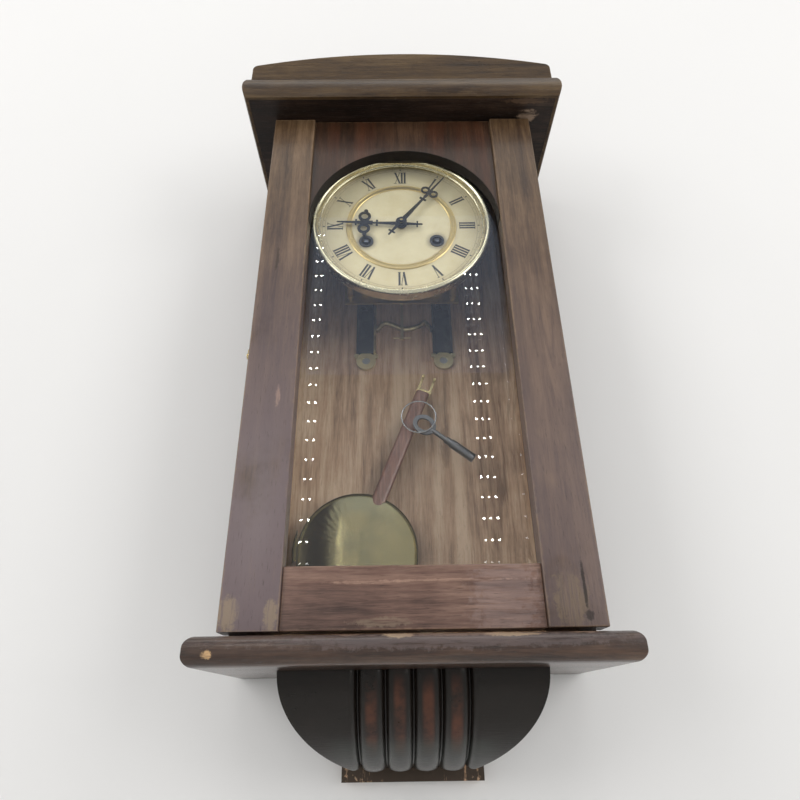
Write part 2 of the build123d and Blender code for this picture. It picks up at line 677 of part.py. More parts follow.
# ---- striking: hammer and gong ----
def hammer():
    """The hammer arbor between the plates with its arm and head behind the back plate."""
    x, z = at(hammer_arbor)
    body = rod_y(x, z, front_plate_back + 0.3, -32.0, staff) + rod_y(x, z, front_plate_y, -80, pivot)
    elbow = (x - 19.5, -33.0, z - 29.0)
    body += bar_between((x, -33.2, z), elbow, 1.1)
    body += bar_between(elbow, (elbow[0], -19.0, elbow[2]), 1.1)
    body += bar_between((elbow[0] - 6, -19.0, elbow[2]), (elbow[0] + 5.6, -19.0, elbow[2]), 3.6)
    return body


nodes["hammer"] = hammer()
gong_pitch = 6.0
gong_x = dial_x
gong_z = dial_z + 9.0
gong_y = (-20.5, -17.5)


def gong():
    """A flat steel coil of half turns, each half a pitch larger than the last."""
    body = None
    for half in range(8):
        radius = 9.0 + half * gong_pitch / 2
        shift = gong_pitch / 2 if half % 2 else 0.0
        ring = Circle(radius + 0.8) - Circle(radius - 0.8)
        keep = Pos(0, 50 if half % 2 == 0 else -50) * Rectangle(200, 100)
        piece = slab(Pos(gong_x - shift, gong_z) * (ring & keep), *gong_y)
        body = piece if body is None else body + piece
    return body


nodes["gong_coil"] = gong()
stem = rod_y(gong_x, gong_z, -back_board, gong_y[0], 5.0)
stem += block((gong_x, gong_x + 8.15), (gong_y[0], gong_y[1]), (gong_z - 2.5, gong_z - 0.05))
nodes["gong_block"] = stem - nodes["gong_coil"]

# ---- movement bracket ----
bracket_x = 38.5
leg_half = 10.0
leg_low = 272.0
foot_z = 265.5
legs = []
feet = []
for side in (-1, 1):
    x = side * bracket_x
    leg = block((x - leg_half, x + leg_half), (-14.5, -back_board), (leg_low, dial_z + 62))
    leg = fillet(leg.edges().filter_by(Axis.Z).group_by(Axis.Y)[0], 2.4)
    for z0, z1 in ((-40.0, -30.0), (47.0, 55.0)):
        leg += block((x - 6, x + 6), (back_plate_back, -14.0), (dial_z + z0, dial_z + z1))
    legs.append(leg)
    foot = rod_y(x, foot_z - 2.0, -14.0, -back_board, 9.6)
    for ear in (-1, 1):
        foot += rod_y(x + ear * 9.4, foot_z + 4.6, -12.6, -back_board, 2.6)
        foot += bar_between((x, -12, foot_z), (x + ear * 9.4, -12, foot_z + 4.6), 1.4)
    foot -= block((x - leg_half, x + leg_half), (-15, 0), (leg_low, leg_low + 20))
    foot -= rod_y(x, foot_z - 2.0, -15, -9, 4.0)
    feet.append(foot)
    fixings.append(rod_y(x, foot_z - 2.0, -12.4, -back_board, 4.0) + rod_y(x, foot_z - 2.0, -10, -2, 1.6))
    nodes["backboard"] -= rod_y(x, foot_z - 2.0, -11, -2, 1.6)
nodes["bracket_feet"] = feet


def crossbar():
    """A wavy bar that joins the legs: a hump by each leg and a dip in the middle."""
    span = bracket_x - leg_half
    crest_z, dip_z, end_z = 308.0, 301.0, 299.0
    points = []
    for x, z in ((-span, end_z), (-20, crest_z), (0, dip_z), (20, crest_z), (span, end_z)):
        points.append((x, -13.0, z))
    path = Spline(*points, tangents=[(1, 0, 1.4), (1, 0, -1.4)])
    section = Plane(origin=path @ 0, z_dir=path % 0) * Circle(2.5)
    return sweep(section, path=path)


nodes["movement_bracket"] = legs[0] + legs[1] + crossbar()
nodes["screws_and_nuts"] = fixings

# ---- pendulum, drawn upright with its hook at the origin, then leaned ----
shown = Pos(lean_x, swing_plane, lean_z) * Rot(0, lean, 0)


def rod_fork():
    """A brass plate with two prongs whose bent tips hang on the leader's cross wire."""
    plate_y = (1.4, 2.6)
    body = block((-7, 7), plate_y, (-20, -12))
    body += block((-5.6, 5.6), plate_y, (-24, -20))
    for side in (-1, 1):
        x = sorted((side * 4.6, side * 6.6))
        body += block(x, plate_y, (-13, 1.3))
        body += block(x, (-1.8, 2.6), (0.65, 1.3))
        body += block(x, (-1.8, -1.1), (-1.2, 1.3))
    return body


def pendulum_rod():
    """A flat wooden rod with rounded front edges, from the fork down into the bob."""
    low = -(bob_drop - rod_seat)
    body = block((-rod_width / 2, rod_width / 2), (-rod_thick / 2, rod_thick / 2), (low, -rod_top))
    body = fillet(body.edges().filter_by(Axis.Z).group_by(Axis.Y)[0], 2.6)
    return body - block((-7.2, 7.2), (1.4, 4.0), (-24, -11))


def bob():
    """Two thin domed discs, closed at the rim, with a slot for the rod."""
    edge = 1.2
    half = bob_thick / 2
    dome = (bob_radius ** 2 + (half - edge) ** 2) / (2 * (half - edge))
    points = [(0, -half)]
    for step in range(1, 13):
        radius = bob_radius * step / 12
        points.append((radius, -half + dome - sqrt(dome ** 2 - radius ** 2)))
    outline = Spline(*points) + Polyline(points[-1], (bob_radius, 0), (0, 0), (0, -half))
    shell = revolve(make_face(outline), Axis.Y)
    shell += mirror(shell, Plane.XZ)
    centre_z = -bob_drop
    body = Pos(0, 0, centre_z) * shell
    return body - block((-rod_width / 2, rod_width / 2), (-rod_thick / 2, rod_thick / 2), (centre_z + rod_seat, 0))


def rating_screw():
    high = -bob_drop - bob_radius - 0.05
    long = 16.0
    return Pos(0, 0, high - long / 2) * Cylinder(1.5, long)


def rating_nut():
    """A knurled round nut on the screw below the bob."""
    low = -bob_drop - bob_radius - 12
    points = []
    for tooth in range(24):
        angle = 2 * pi * tooth / 24
        radius = 6.2 if tooth % 2 else 5.7
        points.append((radius * cos(angle), radius * sin(angle)))
    body = extrude(Plane.XY * front_poly(points), 5)
    return Pos(0, 0, low) * (body - Cylinder(1.5 + running, 30))


nodes["pendulum_hook"] = shown * rod_fork()
nodes["pendulum_rod"] = shown * pendulum_rod()
nodes["pendulum_bob"] = shown * bob()
nodes["rating_screw"] = shown * rating_screw()
nodes["rating_nut"] = shown * rating_nut()

# ---- key on its wire ring, hung over the top of the rod ----
key_plane = swing_plane - 8.0
bow = (16.0, 183.0)
key_tip = (58.0, 150.0)


def key():
    """A winding key: a flat oval bow, a shank and a barrel with a square socket."""
    run = Vector(key_tip[0] - bow[0], 0, key_tip[1] - bow[1]).normalized()
    tilt = degrees(atan2(run.Z, run.X))
    length = hypot(key_tip[0] - bow[0], key_tip[1] - bow[1])
    head = slab(Ellipse(11, 9) - Ellipse(7.2, 5.4), -1.2, 1.2)
    body = head + bar_between((9.5, 0, 0), (length - 22, 0, 0), 2.2)
    body += bar_between((length - 30, 0, 0), (length - 22, 0, 0), 3.2)
    body += bar_between((length - 24, 0, 0), (length, 0, 0), 4.0)
    body -= block((length - 14, length + 1), (-2.0, 2.0), (-2.0, 2.0))
    return Pos(bow[0], key_plane, bow[1]) * Rot(0, -tilt, 0) * body


ring_centre = (11.0, 190.0)
ring_radius = 15.5
loop = Plane((ring_centre[0], key_plane - 2.4, ring_centre[1]), x_dir=(1, 0, 0), z_dir=(0, -1, 0))
nodes["winding_key"] = key()
nodes["key_ring"] = Solid.make_torus(ring_radius, 0.6, loop)


# ---- hanging the pendulum: the turn that carries the leaning hook to the leader ----
half_turn = tan(radians(lean / 2))
lift_x = dial_x - lean_x
lift_z = leader_hook - lean_z
pole_x = (lean_x + dial_x) / 2 - lift_z / (2 * half_turn)
pole_z = (lean_z + leader_hook) / 2 + lift_x / (2 * half_turn)


def save():
    """Write one STEP file for each node, moved so that the hanging hole is the origin."""
    os.makedirs("parts", exist_ok=True)
    for name, shape in nodes.items():
        pieces = shape if isinstance(shape, list) else [shape]
        solids = [solid for piece in pieces for solid in piece.solids()]
        placed = [solid.moved(Location((0, 0, -hanger_height))) for solid in solids]
        whole = placed[0] if len(placed) == 1 else Compound(children=placed)
        export_step(whole, "parts/" + name + ".step")
    print(len(nodes), "nodes")
    print("pendulum pole", round(pole_x, 2), round(pole_z - hanger_height, 2))


save()
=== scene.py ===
# %% [markdown]
# # A pendulum wall clock
#
# The clock hangs from a plate in the top of its backboard. Its case, door, dial and movement
# arrive as solid parts in metres: Z is up, the wall is the plane y = 0 and the door faces -Y. This
# lesson gives them their finish. Boards get softened edges and stained wood, the dial gets its
# printing, the glass its bevel, and the bezel, the bob and the corbel are worked out again as
# smooth surfaces.

# %% Load the solid parts
import json
import math

import bmesh
import bpy
import numpy as np
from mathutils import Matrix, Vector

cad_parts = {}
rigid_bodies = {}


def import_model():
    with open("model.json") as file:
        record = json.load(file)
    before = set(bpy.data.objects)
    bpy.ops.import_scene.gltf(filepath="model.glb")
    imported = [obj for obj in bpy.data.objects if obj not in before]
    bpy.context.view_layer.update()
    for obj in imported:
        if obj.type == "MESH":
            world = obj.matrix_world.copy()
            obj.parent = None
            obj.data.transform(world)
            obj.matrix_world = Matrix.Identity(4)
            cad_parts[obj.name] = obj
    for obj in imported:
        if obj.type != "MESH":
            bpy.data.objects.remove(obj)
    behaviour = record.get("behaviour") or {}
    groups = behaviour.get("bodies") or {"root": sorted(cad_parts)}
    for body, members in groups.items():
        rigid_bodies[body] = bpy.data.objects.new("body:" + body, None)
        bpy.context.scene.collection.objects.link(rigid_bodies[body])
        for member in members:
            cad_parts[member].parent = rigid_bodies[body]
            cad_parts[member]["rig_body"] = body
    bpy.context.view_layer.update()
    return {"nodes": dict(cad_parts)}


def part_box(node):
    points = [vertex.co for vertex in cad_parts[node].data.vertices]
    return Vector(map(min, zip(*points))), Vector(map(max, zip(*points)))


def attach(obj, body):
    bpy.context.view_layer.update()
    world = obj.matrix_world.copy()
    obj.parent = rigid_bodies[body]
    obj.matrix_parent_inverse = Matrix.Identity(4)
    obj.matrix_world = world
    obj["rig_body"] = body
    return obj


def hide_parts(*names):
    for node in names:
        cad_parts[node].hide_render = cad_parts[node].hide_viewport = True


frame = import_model()
nodes = frame["nodes"]

# %% [markdown]
# ## The camera
#
# The viewer stands close and low and looks up at the case, so the cornice shows its underside and
# the upright edges lean together. A short lens near the object gives that strong taper; the same
# framing from further away would look flat.

# %% Place the camera
camera_data = bpy.data.cameras.new("camera")
camera_data.sensor_width = 36.0
camera_data.lens = 27.315
camera_data.clip_start = 0.01
camera = bpy.data.objects.new("camera", camera_data)
camera.location = (-0.01018, -0.5326, -0.4978)
camera.rotation_euler = [math.radians(turn) for turn in (117.1256, 0.7696, -0.1283)]
bpy.context.scene.collection.objects.link(camera)
bpy.context.scene.camera = camera
print("camera", [round(value, 3) for value in camera.location])

# %% [markdown]
# ## Shader maths as plain expressions
#
# A procedural finish is a sum of masks: grain, pores, wear. Written as nodes one by one that is
# long to read, so one small class wraps an output socket and turns `a * 0.5 + b` into Math nodes.
# A second class holds one material and makes every other node through a single method.

# %% A number that varies over a surface
class Value:
    """One output socket; arithmetic on it adds Math nodes to its material."""

    def __init__(self, finish, socket):
        self.finish, self.socket = finish, socket

    def maths(self, operation, *values):
        """A Math node on values, which are sockets or plain numbers."""
        return self.finish.node("Math", {"operation": operation}, dict(enumerate(values)))

    def __add__(self, other):
        return self.maths("ADD", self, other)

    def __sub__(self, other):
        return self.maths("SUBTRACT", self, other)

    def __rsub__(self, other):
        return self.maths("SUBTRACT", other, self)

    def __mul__(self, other):
        return self.maths("MULTIPLY", self, other)

    __radd__, __rmul__ = __add__, __mul__

    def least(self, other):
        return self.maths("MINIMUM", self, other)

    def most(self, other):
        return self.maths("MAXIMUM", self, other)

    def size(self):
        """The value without its sign."""
        return self.maths("ABSOLUTE", self)

    def wave(self):
        """The sine of the value in radians."""
        return self.maths("SINE", self)

    def rise(self, low, high):
        """0 below low, 1 above high, with a smooth step between."""
        settings = {"interpolation_type": "SMOOTHSTEP"}
        return self.finish.node("MapRange", settings, {0: self, 1: low, 2: high})

    def fall(self, low, high):
        """1 below low, 0 above high."""
        return 1 - self.rise(low, high)


# %% One material under construction
class Finish:
    """A material with its Principled shader; node() makes every other node."""

    def __init__(self, name):
        self.material = bpy.data.materials.new(name)
        self.material.use_nodes = True
        self.tree = self.material.node_tree
        self.shader = self.tree.nodes["Principled BSDF"]

    def node(self, kind, settings, inputs, out=0):
        """A new node; settings come first, then the values or links of its inputs."""
        made = self.tree.nodes.new("ShaderNode" + kind)
        for key, value in settings.items():
            if key == "stops":
                while len(made.color_ramp.elements) < len(value):
                    made.color_ramp.elements.new(0.5)
                for stop, (place, colour) in zip(made.color_ramp.elements, value):
                    stop.position, stop.color = place, (*colour, 1)
            else:
                setattr(made, key, value)
        self.join(made, inputs)
        return Value(self, made.outputs[out])

    def join(self, made, inputs):
        """Links a Value to an input, and sets a plain number or colour on it."""
        for key, value in inputs.items():
            if isinstance(value, Value):
                self.tree.links.new(value.socket, made.inputs[key])
            else:
                made.inputs[key].default_value = value

    def shade(self, **inputs):
        """Sets or links the shader's sockets, named with _ for a space."""
        self.join(self.shader, {key.replace("_", " "): value for key, value in inputs.items()})
        return self.material

    def place(self):
        """Where a point is on the clock, in metres: its Object coordinates."""
        return self.node("TexCoord", {}, {}, 3)

    def axes(self, place):
        """A place's x, y and z as three values."""
        return [self.node("SeparateXYZ", {}, {0: place}, out) for out in range(3)]

    def moved(self, place, centre=(0, 0, 0), scale=(1, 1, 1), turn=(0, 0, 0)):
        """The place measured from a centre, then turned, then scaled."""
        away = self.node("VectorMath", {"operation": "SUBTRACT"}, {0: place, 1: centre})
        return self.node("Mapping", {}, {0: away, 2: turn, 3: scale})

    def distance(self, place, centre, scale=(1, 1, 1)):
        """How far a place is from a centre; an axis with a scale of 0 isn't counted."""
        away = self.moved(place, centre, scale)
        return self.node("VectorMath", {"operation": "LENGTH"}, {0: away}, 1)

    def noise(self, place, scale, detail=4.0, rough=0.55, bent=0.0):
        return self.node("TexNoise", {}, {0: place, 2: scale, 3: detail, 4: rough, 8: bent})

    def mix(self, factor, first, second):
        """The first colour where the factor is 0 and the second where it is 1."""
        return self.node("Mix", {"data_type": "RGBA"}, {0: factor, 6: first, 7: second}, 2)

    def ramp(self, factor, stops):
        return self.node("ValToRGB", {"stops": stops}, {0: factor})

    def bump(self, height, depth, strength=1.0):
        return self.node("Bump", {}, {"Height": height, "Distance": depth, "Strength": strength})

    def spot(self, place, centre, reach):
        """1 inside an ellipsoid, falling to 0 at its edge, which noise makes ragged."""
        length = self.distance(place, centre, [1 / size for size in reach])
        edge = self.noise(place, 260.0, 5.0, 0.7) - 0.5
        return (length + edge * 1.8).fall(0.55, 1.0)

    def edge(self, place, low, high):
        """Distance to the nearest edge of a box, measured over its faces: the middle one of the
        three distances to the nearest face across each axis."""
        near = []
        for axis, start, end in zip(self.axes(place), low, high):
            near.append(((axis - start).size()).least((axis - end).size()))
        a, b, c = near
        return a.least(b).most(a.most(b).least(c))


probe = Finish("probe")
print("value class works on", (2 * probe.noise(probe.place(), 3.0) - 1).socket.name)
bpy.data.materials.remove(probe.material)

# %% [markdown]
# ## Stained and worn wood
#
# The case is walnut-stained softwood under old varnish: brown streaks along the grain, fine dark
# pores, paler rubbed edges, bruises, and a satin coat that is dull where it has worn. One function
# makes all the boards. Its noise is stretched along the grain, and each board moves and colours it
# a little differently, so that neighbours don't share a pattern.

# %% The wood finish
WALNUT = ((0.045, 0.023, 0.011), (0.112, 0.066, 0.033), (0.200, 0.125, 0.070))
BARE = (0.36, 0.25, 0.15)              # wood with its varnish gone
LOW_SHEEN_GREY = (0.150, 0.112, 0.122)        # painted sheen: grey-mauve for pale light mirrored in the lower varnish
RED_STAIN = (0.115, 0.032, 0.013)
# painted shade for the recess of a round cut
HOLE_SHADE_BLACK = (0.004, 0.003, 0.002)
STRETCH = 0.07                         # how slowly the grain changes along a board


def wood(name, along, tones, shift=0.0, box=None, spots=(), worn=0.5, dull=0.36, coat=0.35,
         streaks=0.5, red=0.0, low_sheen=0.0, gloss=0.4, hollow=None):
    """Streaks, fibres and pores are noises stretched along one axis; their sum picks a tone from
    dark to light. The edges of box are rubbed, and each spot is a centre, a reach, a colour and an
    amount. A painted sheen, by the amount given, greys the colour towards the bottom of the case
    for pale light mirrored in the varnish. A round cut through the board, given by the x and z of
    its middle and its radius, is painted black within as the shade of its recess."""
    finish = Finish(name)
    place = finish.place()
    stretch = [1.0, 1.0, 1.0]
    stretch["xyz".index(along)] = STRETCH
    grain = finish.moved(place, (shift, shift * 0.7, shift * 1.3), stretch)
    drift = finish.noise(grain, 34.0, 3.0, 0.6, 0.6)
    streak = finish.noise(grain, 120.0, 5.0, 0.65, 0.3)
    fibre = finish.noise(grain, 820.0, 4.0, 0.7)
    pores = finish.noise(grain, 1500.0, 2.0, 0.6).rise(0.60, 0.72)
    cloud = finish.noise(place, 16.0, 4.0, 0.6)
    tone = drift * 0.45 + streak * streaks + fibre * 0.30 + cloud * 0.30 - streaks * 0.5
    dark, middle, light = tones
    colour = finish.ramp(tone, [(0.38, dark), (0.52, middle), (0.66, light)])
    dirt = finish.noise(grain, 60.0, 6.0, 0.75, 1.2).rise(0.56, 0.68)
    colour = finish.mix(dirt * 0.6, colour, (*dark, 1))
    # painted sheen: the colour greys towards the bottom of the case for pale light mirrored there
    if low_sheen:
        low = finish.axes(place)[2].fall(-0.40, -0.04) * cloud.rise(0.15, 0.5)
        colour = finish.mix(low * low_sheen, colour, (*LOW_SHEEN_GREY, 1))
    if red:
        glow = finish.noise(grain, 26.0, 4.0, 0.6).rise(0.42, 0.72) * red
        colour = finish.mix(glow, colour, (*RED_STAIN, 1))
    colour = finish.mix(pores * 0.5, colour, (*[value * 0.5 for value in dark], 1))
    chafe = finish.noise(grain, 210.0, 6.0, 0.75)
    scuff = (cloud * 0.5 + chafe * 0.5).rise(0.56, 0.66) * 0.30 * worn
    if box:
        ragged = (finish.noise(place, 140.0, 5.0, 0.75) - 0.45) * 0.010
        rubbed = (finish.edge(place, *box) - ragged * worn).fall(0.0, 0.0015)
        scuff = scuff.most(rubbed * chafe.rise(0.35, 0.6) * 0.5)
    rubbed_tone = [(value + bare) / 2 for value, bare in zip(light, BARE)]
    colour = finish.mix(scuff, colour, (*rubbed_tone, 1))
    bare = scuff
    for centre, reach, tint, amount in spots:
        patch = finish.spot(place, centre, reach) * chafe.rise(0.36, 0.52) * amount
        patch = patch.least(1.0)
        colour = finish.mix(patch, colour, (*tint, 1))
        bare = bare.most(patch)
    # painted shade: within the round cut and just past its edge the colour goes nearly black
    if hollow:
        middle_x, middle_z, radius = hollow
        away = finish.distance(place, (middle_x, 0, middle_z), (1, 0, 1))
        hole_shade = away.fall(radius + 0.0002, radius + 0.0009)
        colour = finish.mix(hole_shade * 0.9, colour, (*HOLE_SHADE_BLACK, 1))
        bare = bare.most(hole_shade)
    height = fibre * 0.5 + streak * 0.3 - pores * 0.8 - bare * 0.4
    rough = bare * 0.25 + cloud * 0.16 + fibre * 0.10 + (dull - 0.12)
    return finish.shade(
        Base_Color=colour, Roughness=rough, Coat_Weight=(1 - bare) * coat, Coat_Roughness=0.22,
        Normal=finish.bump(height, 0.00035, 0.7), Specular_IOR_Level=gloss)


print("wood tones", WALNUT)

# %% [markdown]
# ## Softened boards
#
# A solid part has knife-sharp edges and loose triangles. On an old case every arris is rounded by
# wear. The part is copied, its triangles are joined and flat areas cleared of inner edges, and a
# Bevel modifier rounds what is left. The copy rides on the same body and stands for its part.

# %% Refine a part
def settle(made, body, material, stands_for=()):
    """Puts a finished piece in the scene, on its body, with its material."""
    made.data.materials.clear()
    made.data.materials.append(material)
    if made.name not in bpy.context.scene.collection.objects:
        bpy.context.scene.collection.objects.link(made)
    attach(made, body)
    if stands_for:
        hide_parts(*stands_for)
    return made


SHARP = 35.0        # degrees between two faces from which their edge is drawn sharp


def refined(node, material, bevel=0.0, rounds=3):
    """A joined, smooth-shaded copy of a part, its edges rounded by a bevel."""
    shape = bmesh.new()
    shape.from_mesh(nodes[node].data)
    bmesh.ops.remove_doubles(shape, verts=shape.verts, dist=1e-6)
    flat = math.radians(0.5)
    bmesh.ops.dissolve_limit(shape, angle_limit=flat, verts=shape.verts, edges=shape.edges)
    mesh = bpy.data.meshes.new(node + "_finish")
    shape.to_mesh(mesh)
    shape.free()
    made = bpy.data.objects.new(mesh.name, mesh)
    mesh.shade_smooth()
    mesh.set_sharp_from_angle(angle=math.radians(SHARP))
    settle(made, nodes[node]["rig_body"], material, [node])
    if bevel:
        edge = made.modifiers.new("rounded", "BEVEL")
        edge.width, edge.segments, edge.limit_method = bevel, rounds, "ANGLE"
        edge.angle_limit, edge.harden_normals = math.radians(40), True
        edge.use_clamp_overlap = True
    return made


def box_of(node):
    """A part's lowest and highest corners."""
    low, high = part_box(node)
    return tuple(low), tuple(high)


# %% [markdown]
# ## The door's frame
#
# Two upright stiles hold a bottom rail and a top rail with a round arch. Low on the stiles a
# painted greyish sheen stands for pale light mirrored in the varnish, their feet are rubbed pale,
# and the arch's cut is painted black as shade. The marks are listed as spots, each with its
# centre, reach, colour and amount; one pale patch on the bottom rail is a painted reflection.

# %% Door frame
PALE_RUB = (0.30, 0.23, 0.16)
stile_left = [
    ((-0.119, -0.125, -0.441), (0.009, 0.01, 0.013), PALE_RUB, 0.75),
    ((-0.091, -0.125, -0.442), (0.006, 0.01, 0.011), PALE_RUB, 0.70),
    ((-0.110, -0.125, -0.150), (0.0022, 0.01, 0.016), (0.02, 0.012, 0.008), 0.6),
    ((-0.099, -0.125, -0.285), (0.0022, 0.01, 0.010), (0.45, 0.30, 0.24), 0.5),
]
stile_right = [
    ((0.102, -0.125, -0.435), (0.013, 0.01, 0.024), (0.20, 0.145, 0.09), 0.55),
    ((0.112, -0.125, -0.425), (0.0015, 0.01, 0.018), (0.008, 0.005, 0.004), 0.8),
    ((0.113, -0.125, -0.445), (0.004, 0.01, 0.004), (0.008, 0.005, 0.004), 0.7),
]
ARRIS = 0.0008                         # bevel of the door's edges
refined("door_left_stile", wood("walnut_left_stile", "z", WALNUT, 0.31, box_of("door_left_stile"),
        stile_left, low_sheen=0.95), ARRIS)
refined("door_right_stile", wood("walnut_right_stile", "z", WALNUT, 0.77,
        box_of("door_right_stile"), stile_right, low_sheen=0.55), ARRIS)
rail_spots = [
    ((0.028, -0.122, -0.421), (0.055, 0.01, 0.0011), (0.42, 0.27, 0.20), 0.55),
    ((-0.030, -0.122, -0.422), (0.030, 0.01, 0.0012), (0.42, 0.27, 0.20), 0.55),
    ((-0.020, -0.122, -0.447), (0.022, 0.01, 0.0035), PALE_RUB, 0.45),
    # painted reflection: a faint grey-mauve patch at the rail's right for a lamp's glare
    ((0.060, -0.122, -0.432), (0.026, 0.01, 0.040), (0.40, 0.33, 0.33), 0.20),
]
RUDDY = ((0.050, 0.024, 0.018), (0.150, 0.082, 0.062), (0.270, 0.165, 0.125))
SHADED = ((0.016, 0.009, 0.005), (0.046, 0.023, 0.012), (0.090, 0.048, 0.026))
refined("door_bottom_rail", wood("walnut_bottom_rail", "x", RUDDY, 1.9,
        box_of("door_bottom_rail"), rail_spots, red=0.25, coat=0.5), ARRIS)
# the arch's cut is painted black as the shade in its recess
arch = (0, -0.104, 0.0855)             # x and z of its middle, and its radius
refined("door_top_rail", wood("walnut_top_rail", "z", SHADED, 2.7, box_of("door_top_rail"),
        worn=0.1, red=0.65, gloss=0.3, hollow=arch), 0.0007)
print("door frame finished")

# %% [markdown]
# ## Case boards
#
# The cornice and the base are nosed boards with the grain running across. The base has lost varnish
# along its top edge, where the door rubs, has one pale chip at the left, and a painted grey sheen
# across its upper front. Under the cornice the wood is painted nearly black as shade, with one
# worn spot at the right.

# %% Cornice, base, sides and crest
DEEP = ((0.010, 0.005, 0.0035), (0.042, 0.020, 0.012), (0.100, 0.055, 0.034))
BROWN = ((0.020, 0.010, 0.004), (0.060, 0.033, 0.012), (0.112, 0.070, 0.030))
base_spots = [
    ((-0.1245, -0.1405, -0.4665), (0.0036, 0.006, 0.0028), (0.62, 0.40, 0.20), 1.0),
    ((-0.010, -0.136, -0.4562), (0.012, 0.010, 0.0026), (0.46, 0.34, 0.21), 1.4),
    ((0.060, -0.136, -0.4562), (0.020, 0.010, 0.0026), (0.46, 0.34, 0.21), 1.4),
    ((-0.040, -0.134, -0.4555), (0.009, 0.010, 0.0016), (0.35, 0.22, 0.14), 0.6),
    ((0.104, -0.134, -0.4555), (0.012, 0.010, 0.0014), (0.35, 0.22, 0.14), 0.6),
    ((0.030, -0.134, -0.4565), (0.070, 0.010, 0.0014), (0.35, 0.22, 0.14), 0.4),
    # painted sheen: a broad grey-mauve band over the base's upper front for pale light mirrored
    # there
    ((0.020, -0.139, -0.4600), (0.150, 0.012, 0.0060), (0.16, 0.125, 0.125), 0.45),
]
cornice_spots = [
    ((0.123, -0.127, 0.0246), (0.011, 0.008, 0.004), (0.34, 0.24, 0.17), 0.7),
    ((0.122, -0.143, 0.0246), (0.028, 0.0035, 0.003), (0.12, 0.072, 0.042), 0.7),
]
crest = wood("walnut_crest", "x", BROWN, 3.3, box_of("crest_board"), worn=0.3, coat=0.0, dull=0.5,
             gloss=0.16)
refined("crest_board", crest, 0.0006)
# painted shade: the cornice board gets near-black tones for the shade under the cornice
UNDER_SHADE = ((0.006, 0.004, 0.003), (0.018, 0.010, 0.007), (0.045, 0.027, 0.018))
refined("cornice_board", wood("walnut_cornice", "x", UNDER_SHADE, 4.1, None, cornice_spots, coat=0.1,
        gloss=0.2), 0.0005)
refined("cornice_moulding", wood("walnut_nosing", "x", BROWN, 4.9, box_of("cornice_moulding"),
        cornice_spots, worn=0.8, dull=0.42, coat=0.15, gloss=0.25), 0.0004)
refined("base_board", wood("walnut_base", "x", DEEP, 5.7, None, base_spots, coat=0.6, dull=0.32),
        0.0005)
for side in ("left_side", "right_side"):
    board = wood("walnut_" + side, "z", DEEP, 6.1 + len(side), box_of(side), worn=0.4)
    refined(side, board, 0.0006)
print("case boards finished")

# %% [markdown]
# ## The backboard
#
# Inside the case the back is lighter brown, straight-grained softwood, stained but hardly
# varnished. Its tail shows as a greyish-brown strip below the corbel.

# %% Backboard
INSIDE = ((0.200, 0.102, 0.052), (0.490, 0.300, 0.180), (0.680, 0.480, 0.320))
tail = [((0, -0.010, -0.535), (0.075, 0.02, 0.018), (0.060, 0.042, 0.030), 4.0)]
refined("backboard", wood("stained_back", "z", INSIDE, 8.2, box_of("backboard"), tail, worn=0.3,
        dull=0.46, coat=0.12, streaks=0.7), 0.0006)
print("backboard finished")

# %% [markdown]
# ## The corbel
#
# The bracket below is ebonised: black stain under gloss varnish, rubbed through to red-brown on the
# crests of the reeds, with a painted grey-green sheen where the reeds turn under. The masks come
# from where the wood is: the crest of a reed is a cosine of x, and the painted sheen is a band of
# heights.

# %% Ebonised wood
REED_PITCH = 0.0186                    # from the middle of one reed to the next


def ebonised(name):
    """Black stain, worn red on the crests of the reeds, which a cosine of x finds."""
    finish = Finish(name)
    place = finish.place()
    x, y, z = finish.axes(place)
    along = finish.moved(place, (0.3, 0, 0), (0.08, 1, 1))
    fibre = finish.noise(along, 900.0, 4.0, 0.7)
    cloud = finish.noise(place, 42.0, 5.0, 0.65)
    angle = x * (2 * math.pi / REED_PITCH)
    crest = (1 - angle.maths("COSINE", angle)) * 0.5
    middle = x.size().fall(0.034, 0.040)
    belly = (z + 0.500).size().fall(0.010, 0.028)
    red = crest.rise(0.45, 0.95) * middle * belly * cloud.rise(0.30, 0.65)
    # painted sheen: a paler grey-green band where the reeds turn under
    low_sheen = (z + 0.523).size().fall(0.003, 0.012) * x.size().fall(0.045, 0.062)
    colour = finish.mix(cloud * 0.7, (0.006, 0.005, 0.004, 1), (0.020, 0.014, 0.011, 1))
    colour = finish.mix(red * 0.85, colour, (0.105, 0.034, 0.016, 1))
    colour = finish.mix(low_sheen * 0.35, colour, (0.045, 0.054, 0.048, 1))
    scuff = finish.noise(place, 90.0, 6.0, 0.75).rise(0.63, 0.72)
    colour = finish.mix(scuff * 0.25, colour, (0.09, 0.075, 0.06, 1))
    rough = cloud * 0.18 + fibre * 0.12 + scuff * 0.2 + 0.16
    height = fibre * 0.6 + cloud * 0.4
    return finish.shade(Base_Color=colour, Roughness=rough, Coat_Weight=0.2, Coat_Roughness=0.08,
                        Specular_IOR_Level=0.22, Normal=finish.bump(height, 0.0004, 0.6))


SOOTY = ((0.006, 0.004, 0.003), (0.02, 0.012, 0.009), (0.045, 0.028, 0.02))
refined("glass_beads", wood("ebonised_bead", "z", SOOTY, 9.4, worn=0.2), 0.0006)
print("beads finished")

# %% [markdown]
# ## Metals
#
# Brass here is a hundred years old: yellow where it is rubbed, olive and brown where it has
# tarnished. Steel is grey and a little oily, and the black parts are blued or lacquered. All of
# them are metal with a roughness that clouds, fine scratches as bump, and a mask of tarnish.

